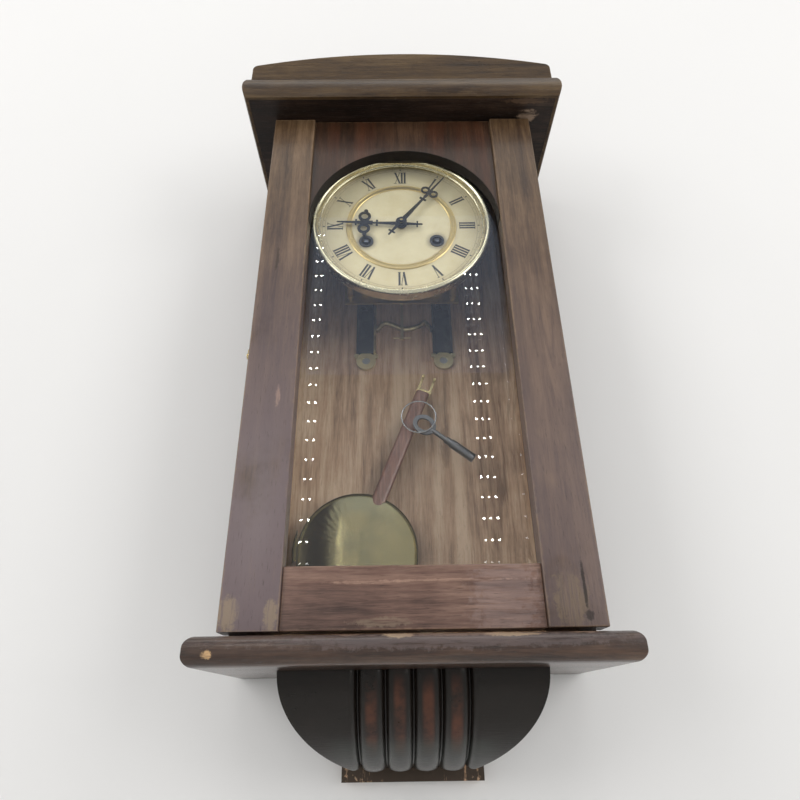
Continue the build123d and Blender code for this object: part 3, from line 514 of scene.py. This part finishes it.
# %% The metal finish
def metal(name, clean, stained, rough=0.28, tarnish=0.5, grain=(1, 1, 1), scale=1.0, metallic=1.0,
          depth=0.00006):
    """The clean colour goes to the stained one where two noises, weighed 6 to 4, pass a limit that
    falls as tarnish grows; grain stretches the scratches and scale makes every pattern finer."""
    finish = Finish(name)
    place = finish.place()
    cloud = finish.noise(place, 55.0 * scale, 6.0, 0.7)
    patch = finish.noise(place, 170.0 * scale, 5.0, 0.75, 0.4)
    scratch = finish.noise(finish.moved(place, (0, 0, 0), grain), 2400.0 * scale, 3.0, 0.7)
    stain = (cloud * 0.6 + patch * 0.4).rise(0.62 - 0.25 * tarnish, 0.74) * tarnish
    colour = finish.mix(stain, (*clean, 1), (*stained, 1))
    specks = finish.noise(place, 900.0 * scale, 2.0, 0.6).rise(0.68, 0.76)
    colour = finish.mix(specks * 0.5 * tarnish, colour, (*[value * 0.25 for value in stained], 1))
    roughness = stain * 0.22 + patch * 0.14 + scratch * 0.08 + (rough - 0.10)
    height = scratch * 0.5 + patch * 0.8 - specks * 0.6
    return finish.shade(Base_Color=colour, Metallic=metallic, Roughness=roughness,
                        Normal=finish.bump(height, depth, 0.8))


BRASS, OLIVE, UMBER = (0.60, 0.47, 0.23), (0.22, 0.17, 0.08), (0.16, 0.09, 0.045)
turned_brass = metal("brass_turned", BRASS, OLIVE, 0.22, 0.45)
gilt = metal("brass_gilt", (0.62, 0.47, 0.21), (0.33, 0.23, 0.10), 0.30, 0.5)
plate_brass = metal("brass_plate", (0.52, 0.40, 0.19), UMBER, 0.34, 0.6, (1, 1, 0.05))
wheel_brass = metal("brass_wheel", (0.60, 0.46, 0.21), OLIVE, 0.30, 0.5)
foot_brass = metal("brass_foot", (0.72, 0.62, 0.36), (0.30, 0.23, 0.11), 0.36, 0.55, scale=2.0)
steel = metal("steel_dull", (0.42, 0.42, 0.43), (0.16, 0.13, 0.11), 0.34, 0.45, (0.1, 1, 1))
blued = metal("steel_blued", (0.024, 0.025, 0.028), (0.035, 0.022, 0.015), 0.30, 0.4, scale=2.0)
print("metals", [material.name for material in bpy.data.materials][-7:])

# %% Metal parts
for name in ("front_plate", "back_plate", "gong_block", "hinge_case_leaves", "hinge_door_leaves"):
    refined(name, plate_brass, 0.0002 if "plate" in name else 0.0)
for name in ("going_barrel", "strike_barrel", "intermediate_wheel", "centre_wheel", "third_wheel",
             "escape_wheel", "pin_wheel", "fly", "cannon_pinion", "minute_wheel", "hour_wheel"):
    refined(name, wheel_brass)
for name in ("going_winder", "strike_winder"):
    refined(name, metal("steel_" + name, (0.16, 0.17, 0.20), (0.06, 0.05, 0.045), 0.38, 0.5))
for name in ("going_click", "strike_click", "anchor", "suspension_spring", "hammer", "gong_coil",
             "screws_and_nuts", "hanger_plate"):
    refined(name, steel)
for name in ("hinge_pins", "door_catch", "door_hook", "pendulum_hook", "rating_nut",
             "rating_screw"):
    refined(name, turned_brass)
refined("bracket_feet", foot_brass, 0.0003)
refined("leader", foot_brass)
refined("winding_bushes", metal("black_bush", (0.02, 0.021, 0.024), (0.05, 0.04, 0.035), 0.34, 0.4,
        metallic=0.2, scale=2.0))
for name in ("minute_hand", "hour_hand", "hand_nut"):
    refined(name, blued, 0.00018, rounds=2)
print("metal parts finished")

# %% [markdown]
# ## The movement's bracket
#
# Two lacquered iron legs carry the movement, joined by a wavy brass bar. They are one solid, so
# the material tells them apart: between the legs it is brass, and the legs are black, worn to grey
# in patches.

# %% Bracket
def bracket_finish():
    """Brass where a point lies between the legs, iron elsewhere."""
    finish = Finish("iron_and_brass")
    place = finish.place()
    x, y, z = finish.axes(place)
    between = (x + 0.0025).size().fall(0.0285, 0.0287)
    cloud = finish.noise(place, 90.0, 6.0, 0.7)
    fleck = finish.noise(place, 420.0, 4.0, 0.7)
    black, grey = (0.040, 0.042, 0.045, 1), (0.15, 0.145, 0.13, 1)
    iron = finish.mix(cloud.rise(0.40, 0.75) * 0.7, black, grey)
    brass = finish.mix(cloud.rise(0.35, 0.70), (0.78, 0.66, 0.36, 1), (0.34, 0.26, 0.12, 1))
    colour = finish.mix(between, iron, brass)
    rough = fleck * 0.16 + cloud * 0.14 + 0.22
    return finish.shade(Base_Color=colour, Metallic=between * 0.65 + 0.35, Roughness=rough,
                        Normal=finish.bump(fleck + cloud * 0.5, 0.0002, 0.6))


refined("movement_bracket", bracket_finish(), 0.0004)
print("bracket finished")

# %% [markdown]
# ## Surfaces from profiles
#
# Turned parts are profiles of (radius, depth) carried round an axis. `turned` works the whole
# surface out as one grid: the angle runs along one side and the profile along the other. `piece`
# makes a grid a smooth mesh, and `plain_piece` leaves flat plates as they are.

# %% Grid helpers
def grid_faces(rows, columns, wrap_rows=False, wrap_columns=False):
    """Quads between neighbouring rows and columns, joined up at the ends where they wrap."""
    row = np.arange(rows if wrap_rows else rows - 1)
    column = np.arange(columns if wrap_columns else columns - 1)
    r, c = np.meshgrid(row, column, indexing="ij")
    next_r, next_c = (r + 1) % rows, (c + 1) % columns
    quads = np.stack([r * columns + c, next_r * columns + c, next_r * columns + next_c,
                      r * columns + next_c], axis=-1)
    return quads.reshape(-1, 4)


def piece(name, points, faces, body, material, stands_for=(), sharp=SHARP):
    """A finished mesh from arrays; doubles are merged and its faces turned outwards."""
    mesh = bpy.data.meshes.new(name)
    mesh.from_pydata(points.reshape(-1, 3).tolist(), [], faces.tolist())
    shape = bmesh.new()
    shape.from_mesh(mesh)
    bmesh.ops.remove_doubles(shape, verts=shape.verts, dist=1e-7)
    bmesh.ops.dissolve_degenerate(shape, dist=1e-8, edges=shape.edges)
    bmesh.ops.recalc_face_normals(shape, faces=shape.faces)
    shape.to_mesh(mesh)
    shape.free()
    mesh.shade_smooth()
    mesh.set_sharp_from_angle(angle=math.radians(sharp))
    return settle(bpy.data.objects.new(name, mesh), body, material, stands_for)


def plain_piece(name, points, faces, body, material, stands_for=()):
    """A flat-faced mesh from lists, with its faces turned outwards."""
    mesh = bpy.data.meshes.new(name)
    mesh.from_pydata(points, [], faces)
    shape = bmesh.new()
    shape.from_mesh(mesh)
    bmesh.ops.recalc_face_normals(shape, faces=shape.faces)
    shape.to_mesh(mesh)
    shape.free()
    return settle(bpy.data.objects.new(name, mesh), body, material, stands_for)


def turned(profile, centre, steps):
    """Point = centre + radius * (cos a, 0, -sin a) + depth * (0, 1, 0), for each profile pair of
    radius and depth and each angle a; a closed profile gives a closed ring."""
    angle = np.linspace(0, 2 * np.pi, steps, endpoint=False)
    spoke = np.stack([np.cos(angle), np.zeros(steps), -np.sin(angle)], axis=-1)
    radius, depth = np.array(profile, float).T
    points = spoke[:, None] * radius[:, None] + np.array((0, 1.0, 0)) * depth[:, None]
    return points + np.array(centre, float), grid_faces(steps, len(radius), True, True)


def rounded(profile):
    """Cuts the corners of a closed profile: each edge gives points at 1/4 and 3/4 of its length."""
    line = np.array(profile, float)
    following = np.roll(line, -1, axis=0)
    quarters = [line * 0.75 + following * 0.25, line * 0.25 + following * 0.75]
    return np.stack(quarters, axis=1).reshape(-1, 2)


print("a 4 by 3 grid has", len(grid_faces(4, 3)), "quads")

# %% [markdown]
# ## The corbel's shape
#
# Seen from the side the corbel is a quarter ellipse that runs from under the base back to the
# wall; seen from the front its outline is half an ellipse. Four round reeds stand between two
# plain lobes. The front is worked out as sections across x: each is one closed loop of depth and
# height, and all of them together are a grid that wraps along the loop.

# %% Corbel
def corbel_surface(columns=420, steps=56):
    """Section at x: y = -(depth - cut) cos t and z = top - (drop - cut) sin t, for t from 0 to
    where the outline top - outline_drop * sqrt(1 - (x / half)^2) is met. The cut is the relief
    times 1 minus the reeds' height, a half circle across each reed that fades at its lower end."""
    half, depth, drop, relief = 0.0890, 0.1005, 0.0675, 0.0060
    top, pitch, width, tail, strip = -0.4734, REED_PITCH, 0.0172, 0.0528, -0.0104
    x = half * np.sin(np.linspace(-np.pi / 2, np.pi / 2, columns))
    outline = 0.0690 * np.sqrt(np.clip(1 - (x / half) ** 2, 0, 1))
    reed = (x / pitch) % 1 - 0.5
    across = np.clip(1 - (reed * pitch / (width / 2)) ** 2, 0, 1) ** 0.42
    across = np.where(np.abs(x) < 2 * pitch, across, 0)
    lobe = np.clip((np.abs(x) - 2 * pitch) / 0.0065, 0, 1)
    lobe = np.sqrt(np.clip(1 - (1 - lobe) ** 2, 0, 1))
    t_end = np.arcsin(np.clip(outline / drop, 0, 1))
    t = np.linspace(0, 1, steps)[None] * t_end[:, None]
    fade = np.sqrt(np.clip(1 - (np.clip(t - 1.02, 0, None) / 0.34) ** 2, 0, 1))
    height = np.where((np.abs(x) < 2 * pitch)[:, None], across[:, None] * fade, lobe[:, None])
    cut = relief * (1 - height)
    y, z = -(depth - cut) * np.cos(t), top - (drop - cut) * np.sin(t)
    back = np.where(np.abs(x) < tail, strip, 0.0)
    y = np.minimum(y, back[:, None])
    ends = np.stack([np.stack([back, z[:, -1]], 1), np.stack([back, np.full_like(x, top)], 1)], 1)
    loop = np.concatenate([np.stack([y, z], -1), ends], axis=1)
    points = np.concatenate([np.broadcast_to(x[:, None, None], (*loop.shape[:2], 1)), loop], -1)
    return points, grid_faces(columns, loop.shape[1], False, True)


points, faces = corbel_surface()
piece("corbel_carved", points, faces, "case", ebonised("ebonised_corbel"),
      ["corbel"], 50)
print("corbel carved with", len(faces), "quads")

# %% [markdown]
# ## Bezel and gilt ring
#
# The bezel is spun brass: a stepped lip round the dial, a full roll, and a skirt that reaches back
# to the case. The gilt ring on the dial is pressed, with a bead along each edge and a hollow
# between.

# %% Bezel and ring
dial_x, dial_y, dial_z = dial_at = (-0.0025, -0.095, -0.089)    # the middle of the dial's face
bezel_profile = [(0.0760, 0.0), (0.0760, -0.0022), (0.0766, -0.0030), (0.0774, -0.0028),
                 (0.0778, -0.0040), (0.0786, -0.0064), (0.0796, -0.0074), (0.0816, -0.0086),
                 (0.0836, -0.0078), (0.0848, -0.0060), (0.0848, -0.0030), (0.0848, 0.0000),
                 (0.0848, 0.0034), (0.0835, 0.0034), (0.0835, 0.0)]
points, faces = turned(rounded(bezel_profile), dial_at, 256)
bezel_brass = metal("brass_bezel", (0.74, 0.67, 0.47), (0.42, 0.34, 0.22), 0.24, 0.4, depth=0.00002)
piece("dial_bezel_turned", points, faces, "case", bezel_brass, ["dial_bezel"])
ring_low, ring_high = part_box("dial_ring")
ring_in, ring_out = 0.0466, 0.0521
bead_top, bead_foot, hollow_edge = 0.0006, 0.0014, 0.0018       # measured in from the ring's edges
face_y, back_y = ring_low[1] - dial_y, ring_high[1] - dial_y
ring_profile = [(ring_in, back_y), (ring_in, face_y * 0.6), (ring_in + bead_top, face_y),
                (ring_in + bead_foot, face_y * 0.9), (ring_in + hollow_edge, face_y * 0.45),
                (ring_out - hollow_edge, face_y * 0.45), (ring_out - bead_foot, face_y * 0.9),
                (ring_out - bead_top, face_y), (ring_out, face_y * 0.6), (ring_out, back_y)]
points, faces = turned(ring_profile, dial_at, 224)
piece("gilt_ring_pressed", points, faces, "case", gilt, ["dial_ring"])
print("ring lies from", round(ring_low[1], 4), "to", round(ring_high[1], 4))

# %% [markdown]
# ## The dial and its printing
#
# The dial is a cream-painted sheet, browned with age towards its rim and round the winding holes.
# Its numerals and minute track are printed black. Text in the default typeface wouldn't match, so
# each numeral is built from strokes, heavy and light bars with serifs, and is turned to stand with
# its feet towards the centre. The print is a film a few hundredths of a millimetre thick.

# %% Dial paint
def dial_paint():
    """Cream, browned where the distance from the dial's middle nears the rim or the gilt ring, and
    grimy round the two winding holes."""
    finish = Finish("dial_cream")
    place = finish.place()
    radius = finish.distance(place, dial_at, (1, 0, 1))
    cloud = finish.noise(place, 36.0, 6.0, 0.7)
    speck = finish.noise(place, 620.0, 3.0, 0.6)
    cream, aged = (0.590, 0.515, 0.325, 1), (0.530, 0.445, 0.258, 1)
    colour = finish.mix(cloud.rise(0.35, 0.75), cream, aged)
    rim = radius.rise(0.066, 0.078) * 0.5 + (radius - 0.050).size().fall(0.002, 0.007) * 0.22
    colour = finish.mix(rim, colour, (0.41, 0.32, 0.18, 1))
    hole_side, hole_drop = 0.033, 0.019
    for side in (-hole_side, hole_side):
        hole = (dial_x + side, dial_y, dial_z - hole_drop)
        gap = finish.distance(place, hole, (1, 0, 1))
        grime = gap.fall(0.0065, 0.0125) * (cloud + 0.25)
        colour = finish.mix(grime * 0.75, colour, (0.16, 0.13, 0.09, 1))
    spots = speck.rise(0.70, 0.78) * 0.5
    colour = finish.mix(spots, colour, (0.25, 0.18, 0.10, 1))
    rough = cloud * 0.2 + 0.26
    return finish.shade(Base_Color=colour, Roughness=rough, Coat_Weight=0.25, Coat_Roughness=0.2,
                        Normal=finish.bump(cloud + speck * 0.3, 0.0002, 0.5))


refined("dial_plate", dial_paint(), 0.0)
print("dial painted")

# %% Numeral strokes
FOOT, HEAD = 0.0550, 0.0700        # radii of a numeral's two ends
HEAVY, LIGHT = 0.00185, 0.00060    # stroke widths
SERIF = 0.0014                     # half the length of a serif
TRACK, DOT = 0.0733, 0.00034       # radius of the minute track's middle, and of a minute's dot


def stroke(start, end, width):
    """A bar between two (across, up) points; its ends stay level with the numeral's ends."""
    (x0, y0), (x1, y1) = start, end
    half = width / 2
    return [(x0 - half, y0), (x0 + half, y0), (x1 + half, y1), (x1 - half, y1)]


def letter(kind, middle):
    """Strokes of I, V or X round a middle, with thin serifs across the ends."""
    tall = HEAD - FOOT
    wide = {"I": 0.0, "V": 0.0042, "X": 0.0046}[kind]
    left, right = middle - wide / 2, middle + wide / 2
    if kind == "I":
        strokes = [stroke((middle, 0), (middle, tall), HEAVY)]
        feet = [(middle, 0), (middle, tall)]
    elif kind == "V":
        strokes = [stroke((middle, 0), (left, tall), HEAVY),
                   stroke((middle, 0), (right, tall), LIGHT)]
        feet = [(left, tall), (right, tall)]
    else:
        strokes = [stroke((right, 0), (left, tall), HEAVY),
                   stroke((left, 0), (right, tall), LIGHT)]
        feet = [(left, 0), (right, 0), (left, tall), (right, tall)]
    for across, up in feet:
        level = up - LIGHT if up else 0.0
        strokes.append([(across - SERIF, level), (across + SERIF, level),
                        (across + SERIF, level + LIGHT), (across - SERIF, level + LIGHT)])
    return strokes


def numeral(text):
    """Letters side by side, centred on the numeral's own line."""
    room = {"I": 0.0029, "V": 0.0050, "X": 0.0056}
    total = sum(room[kind] for kind in text)
    strokes, across = [], -total / 2
    for kind in text:
        strokes += letter(kind, across + room[kind] / 2)
        across += room[kind]
    return strokes


def on_dial(shape, turn, base=FOOT):
    """Turns (across, up) points clockwise round the dial: x = across cos t + r sin t and
    z = r cos t - across sin t, where r is the base radius plus up."""
    across, up = np.array(shape, float).T
    radius = base + up
    angle = math.radians(turn)
    x = across * math.cos(angle) + radius * math.sin(angle)
    z = radius * math.cos(angle) - across * math.sin(angle)
    return np.stack([x + dial_x, z + dial_z], axis=-1)


prints = []
for hour, text in enumerate("XII I II III IIII V VI VII VIII IX X XI".split()):
    prints += [on_dial(shape, 30 * hour) for shape in numeral(text)]
    diamond = [(-0.0008, 0), (0, -0.0012), (0.0008, 0), (0, 0.0012)]
    prints.append(on_dial(diamond, 30 * hour, TRACK))
for minute in range(60):
    if minute % 5:
        dot = [(DOT * math.cos(turn), DOT * math.sin(turn))
               for turn in np.linspace(0, 2 * math.pi, 9)[:-1]]
        prints.append(on_dial(dot, 6 * minute, TRACK))
print(len(prints), "printed shapes")

# %% Lay the print on the dial
def film(shapes, lift, thick):
    """Thin closed plates: each outline is laid at lift in front of the dial and given a thickness;
    neighbours differ by a hair in lift, so that crossing strokes don't share a plane."""
    points, faces = [], []
    for number, shape in enumerate(shapes):
        count = len(shape)
        front = dial_y - lift - thick - 0.000004 * (number % 7)
        for level in (front, dial_y - lift):
            points += [(x, level, z) for x, z in shape]
        first = len(points) - 2 * count
        faces.append([first + i for i in range(count)])
        faces.append([first + count + i for i in reversed(range(count))])
        for i in range(count):
            j = (i + 1) % count
            faces.append([first + i, first + count + i, first + count + j, first + j])
    return points, faces


def ink(name):
    """Printing ink, worn grey in specks."""
    finish = Finish(name)
    place = finish.place()
    wear = finish.noise(place, 700.0, 4.0, 0.7).rise(0.55, 0.75)
    colour = finish.mix(wear * 0.35, (0.014, 0.014, 0.018, 1), (0.20, 0.18, 0.13, 1))
    return finish.shade(Base_Color=colour, Roughness=wear * 0.2 + 0.38)


points, faces = film(prints, 0.00002, 0.00004)
dial_ink = ink("dial_ink")
plain_piece("dial_print", points, faces, "case", dial_ink)
half_line, line_back, line_front = 0.00008, -0.00002, -0.00006
for name, radius in (("track_inner", 0.0720), ("track_outer", 0.0746)):
    line = [(radius - half_line, line_front), (radius + half_line, line_front),
            (radius + half_line, line_back), (radius - half_line, line_back)]
    points, faces = turned(line, dial_at, 180)
    piece(name, points, faces, "case", dial_ink)
print("dial printed")

# %% [markdown]
# ## The bevelled glass
#
# The pane is old sheet glass with a ground bevel along its sides and its foot. The bevel shows as
# a band along the right and left edges, so it has to be real geometry: rings of a rectangle, the
# outer ones set back. Under the arched rail the edge is plain. The glass itself is a little
# uneven.

# %% Pane
def pane():
    """Rectangles of decreasing size: back edge, front edge and bevel, closed front and back."""
    low, high = (np.array(corner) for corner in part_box("door_glass"))
    middle, half = (low + high) / 2, (high - low) / 2
    bevel_wide, bevel_deep = 0.0133, 0.0011
    rings = [(0.0, high[1]), (0.0, low[1] + bevel_deep), (bevel_wide, low[1])]
    corners = np.array([(-1, -1), (1, -1), (1, 1), (-1, 1)], float)
    points = []
    for inset, level in rings:
        across = corners[:, 0] * (half[0] - inset) + middle[0]
        up = np.where(corners[:, 1] < 0, low[2] + inset, high[2] - inset * 0.1)
        points += [(x, level, z) for x, z in zip(across, up)]
    faces = []
    for ring in range(len(rings) - 1):
        for i in range(4):
            j = (i + 1) % 4
            faces.append([4 * ring + i, 4 * ring + j, 4 * ring + 4 + j, 4 * ring + 4 + i])
    faces += [[0, 1, 2, 3], [11, 10, 9, 8]]
    return points, faces


def glass():
    """Clear glass with a slow ripple, a little dust and clouds of wiped dirt."""
    finish = Finish("old_glass")
    place = finish.place()
    ripple = finish.noise(place, 9.0, 2.0, 0.5)
    dust = finish.noise(place, 700.0, 4.0, 0.7).rise(0.66, 0.80)
    cloud = finish.noise(place, 30.0, 5.0, 0.7).rise(0.4, 0.8)
    return finish.shade(Base_Color=(0.93, 0.96, 0.97, 1), Transmission_Weight=1.0, IOR=1.5,
                        Roughness=dust * 0.06 + cloud * 0.012,
                        Normal=finish.bump(ripple, 0.0006, 0.15))


points, faces = pane()
pane_piece = plain_piece("bevelled_glass", points, faces, "door", glass(), ["door_glass"])
pane_piece.visible_shadow = False      # lamp light reaches the dial without being focused
print("glass fitted")

# %% [markdown]
# ## Pendulum
#
# The bob is a thin brass shell over iron, turned with fine rays that start at its middle, so that a
# lamp shows in it as two flames. The rays are a wave of the angle round the middle; the surface is
# a shallow dome with a rolled rim. The wooden rod is polished red-brown, and rounder than the flat
# bar it stands for. The winding key and its wire ring hang over it.

# %% Bob
lean = math.radians(21.6)
hook_at = np.array((0.022, -0.0275, 0.235 - 0.452))
bob_drop, bob_radius, bob_half = 0.176, 0.0505, 0.007
down = np.array((-math.sin(lean), 0, -math.cos(lean)))
bob_at = hook_at + bob_drop * down


def bob_brass():
    """Rays = sin(46 a) + a little sin(171 a) in the bump, a being the angle round the middle."""
    finish = Finish("brass_bob")
    place = finish.place()
    local = finish.moved(place, tuple(bob_at))
    x, y, z = finish.axes(local)
    radius = finish.distance(local, (0, 0, 0), (1, 0, 1))
    angle = x.maths("ARCTAN2", x, z)
    rays = (angle * 46.0).wave() * radius.rise(0.002, 0.006) * radius.fall(0.040, 0.046)
    fine = (angle * 171.0).wave() * radius.rise(0.008, 0.012) * radius.fall(0.041, 0.047)
    cloud = finish.noise(place, 40.0, 6.0, 0.7)
    spots = finish.noise(place, 480.0, 4.0, 0.7).rise(0.60, 0.72)
    stain = cloud.rise(0.40, 0.72)
    colour = finish.mix(stain * 0.75, (0.40, 0.34, 0.18, 1), (0.22, 0.20, 0.12, 1))
    colour = finish.mix(spots * 0.3, colour, (0.12, 0.09, 0.05, 1))
    rough = stain * 0.08 + spots * 0.10 + cloud * 0.06 + 0.12
    height = rays * 0.5 + fine * 0.18 + spots * -0.1
    return finish.shade(Base_Color=colour, Metallic=1.0, Roughness=rough,
                        Normal=finish.bump(height, 0.00014, 0.6))


dome = [(radius, -bob_half + 0.0006 + 0.0048 * (radius / bob_radius) ** 2)
        for radius in np.linspace(0.0, 0.0474, 14)]
rim = [(0.0482, -0.0010), (0.0492, -0.0018), (0.0502, -0.0012), (0.0505, 0.0), (0.0502, 0.0012),
       (0.0492, 0.0018), (0.0482, 0.0010)]
back = [(radius, -depth) for radius, depth in reversed(dome)]
profile = dome + rim + back
points, faces = turned(profile, bob_at, 192)
piece("pendulum_bob_turned", points, faces, "pendulum", bob_brass(), ["pendulum_bob"])
print("bob at", [round(value, 4) for value in bob_at])

# %% Rod
def rod_wood():
    """Fine streaks along the lean of the rod."""
    finish = Finish("rod_polished")
    place = finish.place()
    grain = finish.moved(place, tuple(hook_at), (1, 1, 0.06), (0, lean, 0))
    streak = finish.noise(grain, 420.0, 5.0, 0.7)
    fibre = finish.noise(grain, 1800.0, 3.0, 0.6)
    colour = finish.ramp(streak * 0.8 + fibre * 0.2, [(0.30, (0.075, 0.028, 0.018)),
                         (0.52, (0.21, 0.085, 0.056)), (0.75, (0.36, 0.175, 0.120))])
    return finish.shade(Base_Color=colour, Roughness=fibre * 0.15 + 0.22, Coat_Weight=0.6,
                        Coat_Roughness=0.12, Normal=finish.bump(fibre, 0.0002, 0.5))


def rod_surface(half_wide=0.0065, half_thick=0.0030, top=0.016, low=0.140, sides=48, rows=24):
    """Section: across = wide * cos a and out = thick * sin a, both with the sign kept and the sine
    and cosine raised to 0.8, which is fuller than an ellipse; it is carried down the lean, and its
    two end rings close on the rod's own line."""
    angle = np.linspace(0, 2 * np.pi, sides, endpoint=False)
    across = half_wide * np.sign(np.cos(angle)) * np.abs(np.cos(angle)) ** 0.8
    out = half_thick * np.sign(np.sin(angle)) * np.abs(np.sin(angle)) ** 0.8
    along = np.concatenate([[top], np.linspace(top, low, rows), [low]])
    full = np.concatenate([[0.0], np.ones(rows), [0.0]])
    square = np.array((math.cos(lean), 0, -math.sin(lean)))
    points = (hook_at + along[:, None, None] * down + (full[:, None] * across)[..., None] * square
              + (full[:, None] * out)[..., None] * np.array((0, 1.0, 0)))
    return points, grid_faces(rows + 2, sides, False, True)


points, faces = rod_surface()
piece("pendulum_rod_rounded", points, faces, "pendulum", rod_wood(),
      ["pendulum_rod"], 50)
print("rod rounded with", len(faces), "quads")

# %% Key and ring
key_steel = metal("steel_key", (0.17, 0.17, 0.18), (0.08, 0.07, 0.065), 0.30, 0.5)
refined("winding_key", key_steel, 0.0003)
refined("key_ring", metal("steel_wire", (0.50, 0.50, 0.51), (0.20, 0.18, 0.16), 0.25, 0.4))
print("key hung")

# %% [markdown]
# ## Studio
#
# The wall behind and the floor far below are plain and pale. The wall is seen only from the front:
# its back is clear, so it doesn't hide the clock in a view from behind. The clock's own back stays
# dark there, because it hangs against the wall. Large soft lamps hang in front and above. Two rows
# of small lamps, a pale panel and a tall one are seen only in gloss: they give the glass and the
# bob something to mirror.

# %% Wall and floor
def pale(name, tone, clear_back=False):
    """Plain paint, a little clouded; with clear_back it is transparent from behind."""
    finish = Finish(name)
    cloud = finish.noise(finish.place(), 3.0, 2.0)
    colour = finish.mix(cloud, (*[value * 0.98 for value in tone], 1), (*tone, 1))
    finish.shade(Base_Color=colour, Roughness=0.9)
    if clear_back:
        behind = finish.node("NewGeometry", {}, {}, "Backfacing")
        paint = Value(finish, finish.shader.outputs[0])
        clear = finish.node("BsdfTransparent", {}, {})
        both = finish.node("MixShader", {}, {0: behind, 1: paint, 2: clear})
        finish.join(finish.tree.nodes["Material Output"], {0: both})
    return finish.material


def staged(name, corners, material):
    """Loose four-cornered faces that belong to the studio and not to the clock."""
    corners = np.array(corners, float).reshape(-1, 3)
    mesh = bpy.data.meshes.new(name)
    mesh.from_pydata(corners.tolist(), [], np.arange(len(corners)).reshape(-1, 4).tolist())
    mesh.materials.append(material)
    made = bpy.data.objects.new(name, mesh)
    bpy.context.scene.collection.objects.link(made)
    return made


def upright(left, right, low, high, y):
    """Corners of an upright rectangle that faces along Y."""
    return [(left, y, low), (right, y, low), (right, y, high), (left, y, high)]


FAR, FLOOR, WALL_Y = 4, -1.4, 0.0008
staged("wall", upright(-FAR, FAR, FLOOR, 3, WALL_Y), pale("wall_paint", (0.845, 0.85, 0.86), True))
staged("floor", [(-FAR, -FAR, FLOOR), (FAR, -FAR, FLOOR), (FAR, FAR, FLOOR), (-FAR, FAR, FLOOR)],
       pale("floor_paint", (0.80, 0.80, 0.79)))
print("wall and floor stand")

# %% Lamps
CLOCK_MIDDLE = np.array((0, 0, -0.3))


def lamp(name, place, size, power, tint):
    """A soft rectangular lamp at a place, turned to the middle of the clock."""
    data = bpy.data.lights.new(name, "AREA")
    data.shape, data.size, data.size_y = "RECTANGLE", size[0], size[1]
    data.energy, data.color = power, tint
    made = bpy.data.objects.new(name, data)
    made.location = place
    x, y, z = np.array(place, float) - CLOCK_MIDDLE
    made.rotation_euler = (math.atan2(math.hypot(x, y), z), 0, math.atan2(x, -y))
    made.visible_camera = False
    bpy.context.scene.collection.objects.link(made)


lamp("overhead", (0.0, -0.9, 1.6), (1.8, 0.6), 9.0, (1.0, 0.98, 0.94))
lamp("front_left", (-1.25, -1.3, 0.2), (0.7, 1.2), 10.0, (1.0, 0.98, 0.95))
lamp("front_right", (1.25, -1.3, 0.1), (0.7, 1.2), 10.0, (1.0, 0.98, 0.95))
print("lamps", [light.name for light in bpy.data.lights])

# %% Panels seen in gloss
def glow(name, colour, strength):
    """An even emission."""
    finish = Finish(name)
    return finish.shade(Base_Color=(0, 0, 0, 1), Emission_Color=(*colour, 1),
                        Emission_Strength=strength)


def reflected(name, corners, material):
    """Lit faces that only shine in glossy surfaces: nothing else sees them."""
    made = staged(name, corners, material)
    made.visible_camera = made.visible_diffuse = made.visible_shadow = False


PANEL_Y, DIODE_GAP, DIODE_RISE, DIODE_HALF = -1.5, 0.021, 0.066, 0.0030
reflected("sky_panel", upright(-1.4, 1.4, 0.53, 1.25, PANEL_Y),
          glow("sky_glow", (0.66, 0.74, 0.92), 0.80))
reflected("tall_panel", upright(-0.47, -0.41, -0.10, 0.25, PANEL_Y),
          glow("tall_glow", (1.0, 0.96, 0.90), 12.0))
diode = []
for across, low, high in ((-0.296, -0.05, 1.16), (0.274, -0.05, 0.96)):
    for z in np.arange(low, high, DIODE_RISE):
        for x in (across - DIODE_GAP, across, across + DIODE_GAP):
            diode.append(upright(x - DIODE_HALF, x + DIODE_HALF, z - DIODE_HALF, z + DIODE_HALF,
                                 PANEL_Y + 0.02))
reflected("diodes", diode, glow("diode_glow", (1.0, 0.98, 0.95), 80.0))
print(len(diode), "small lamps")

# %% Ambient light
world = bpy.data.worlds.new("studio")
world.use_nodes = True
world.node_tree.nodes["Background"].inputs[0].default_value = (1.0, 0.985, 0.96, 1)
world.node_tree.nodes["Background"].inputs[1].default_value = 0.55
bpy.context.scene.world = world
bpy.context.scene.view_settings.view_transform = "Standard"
print("studio lit")
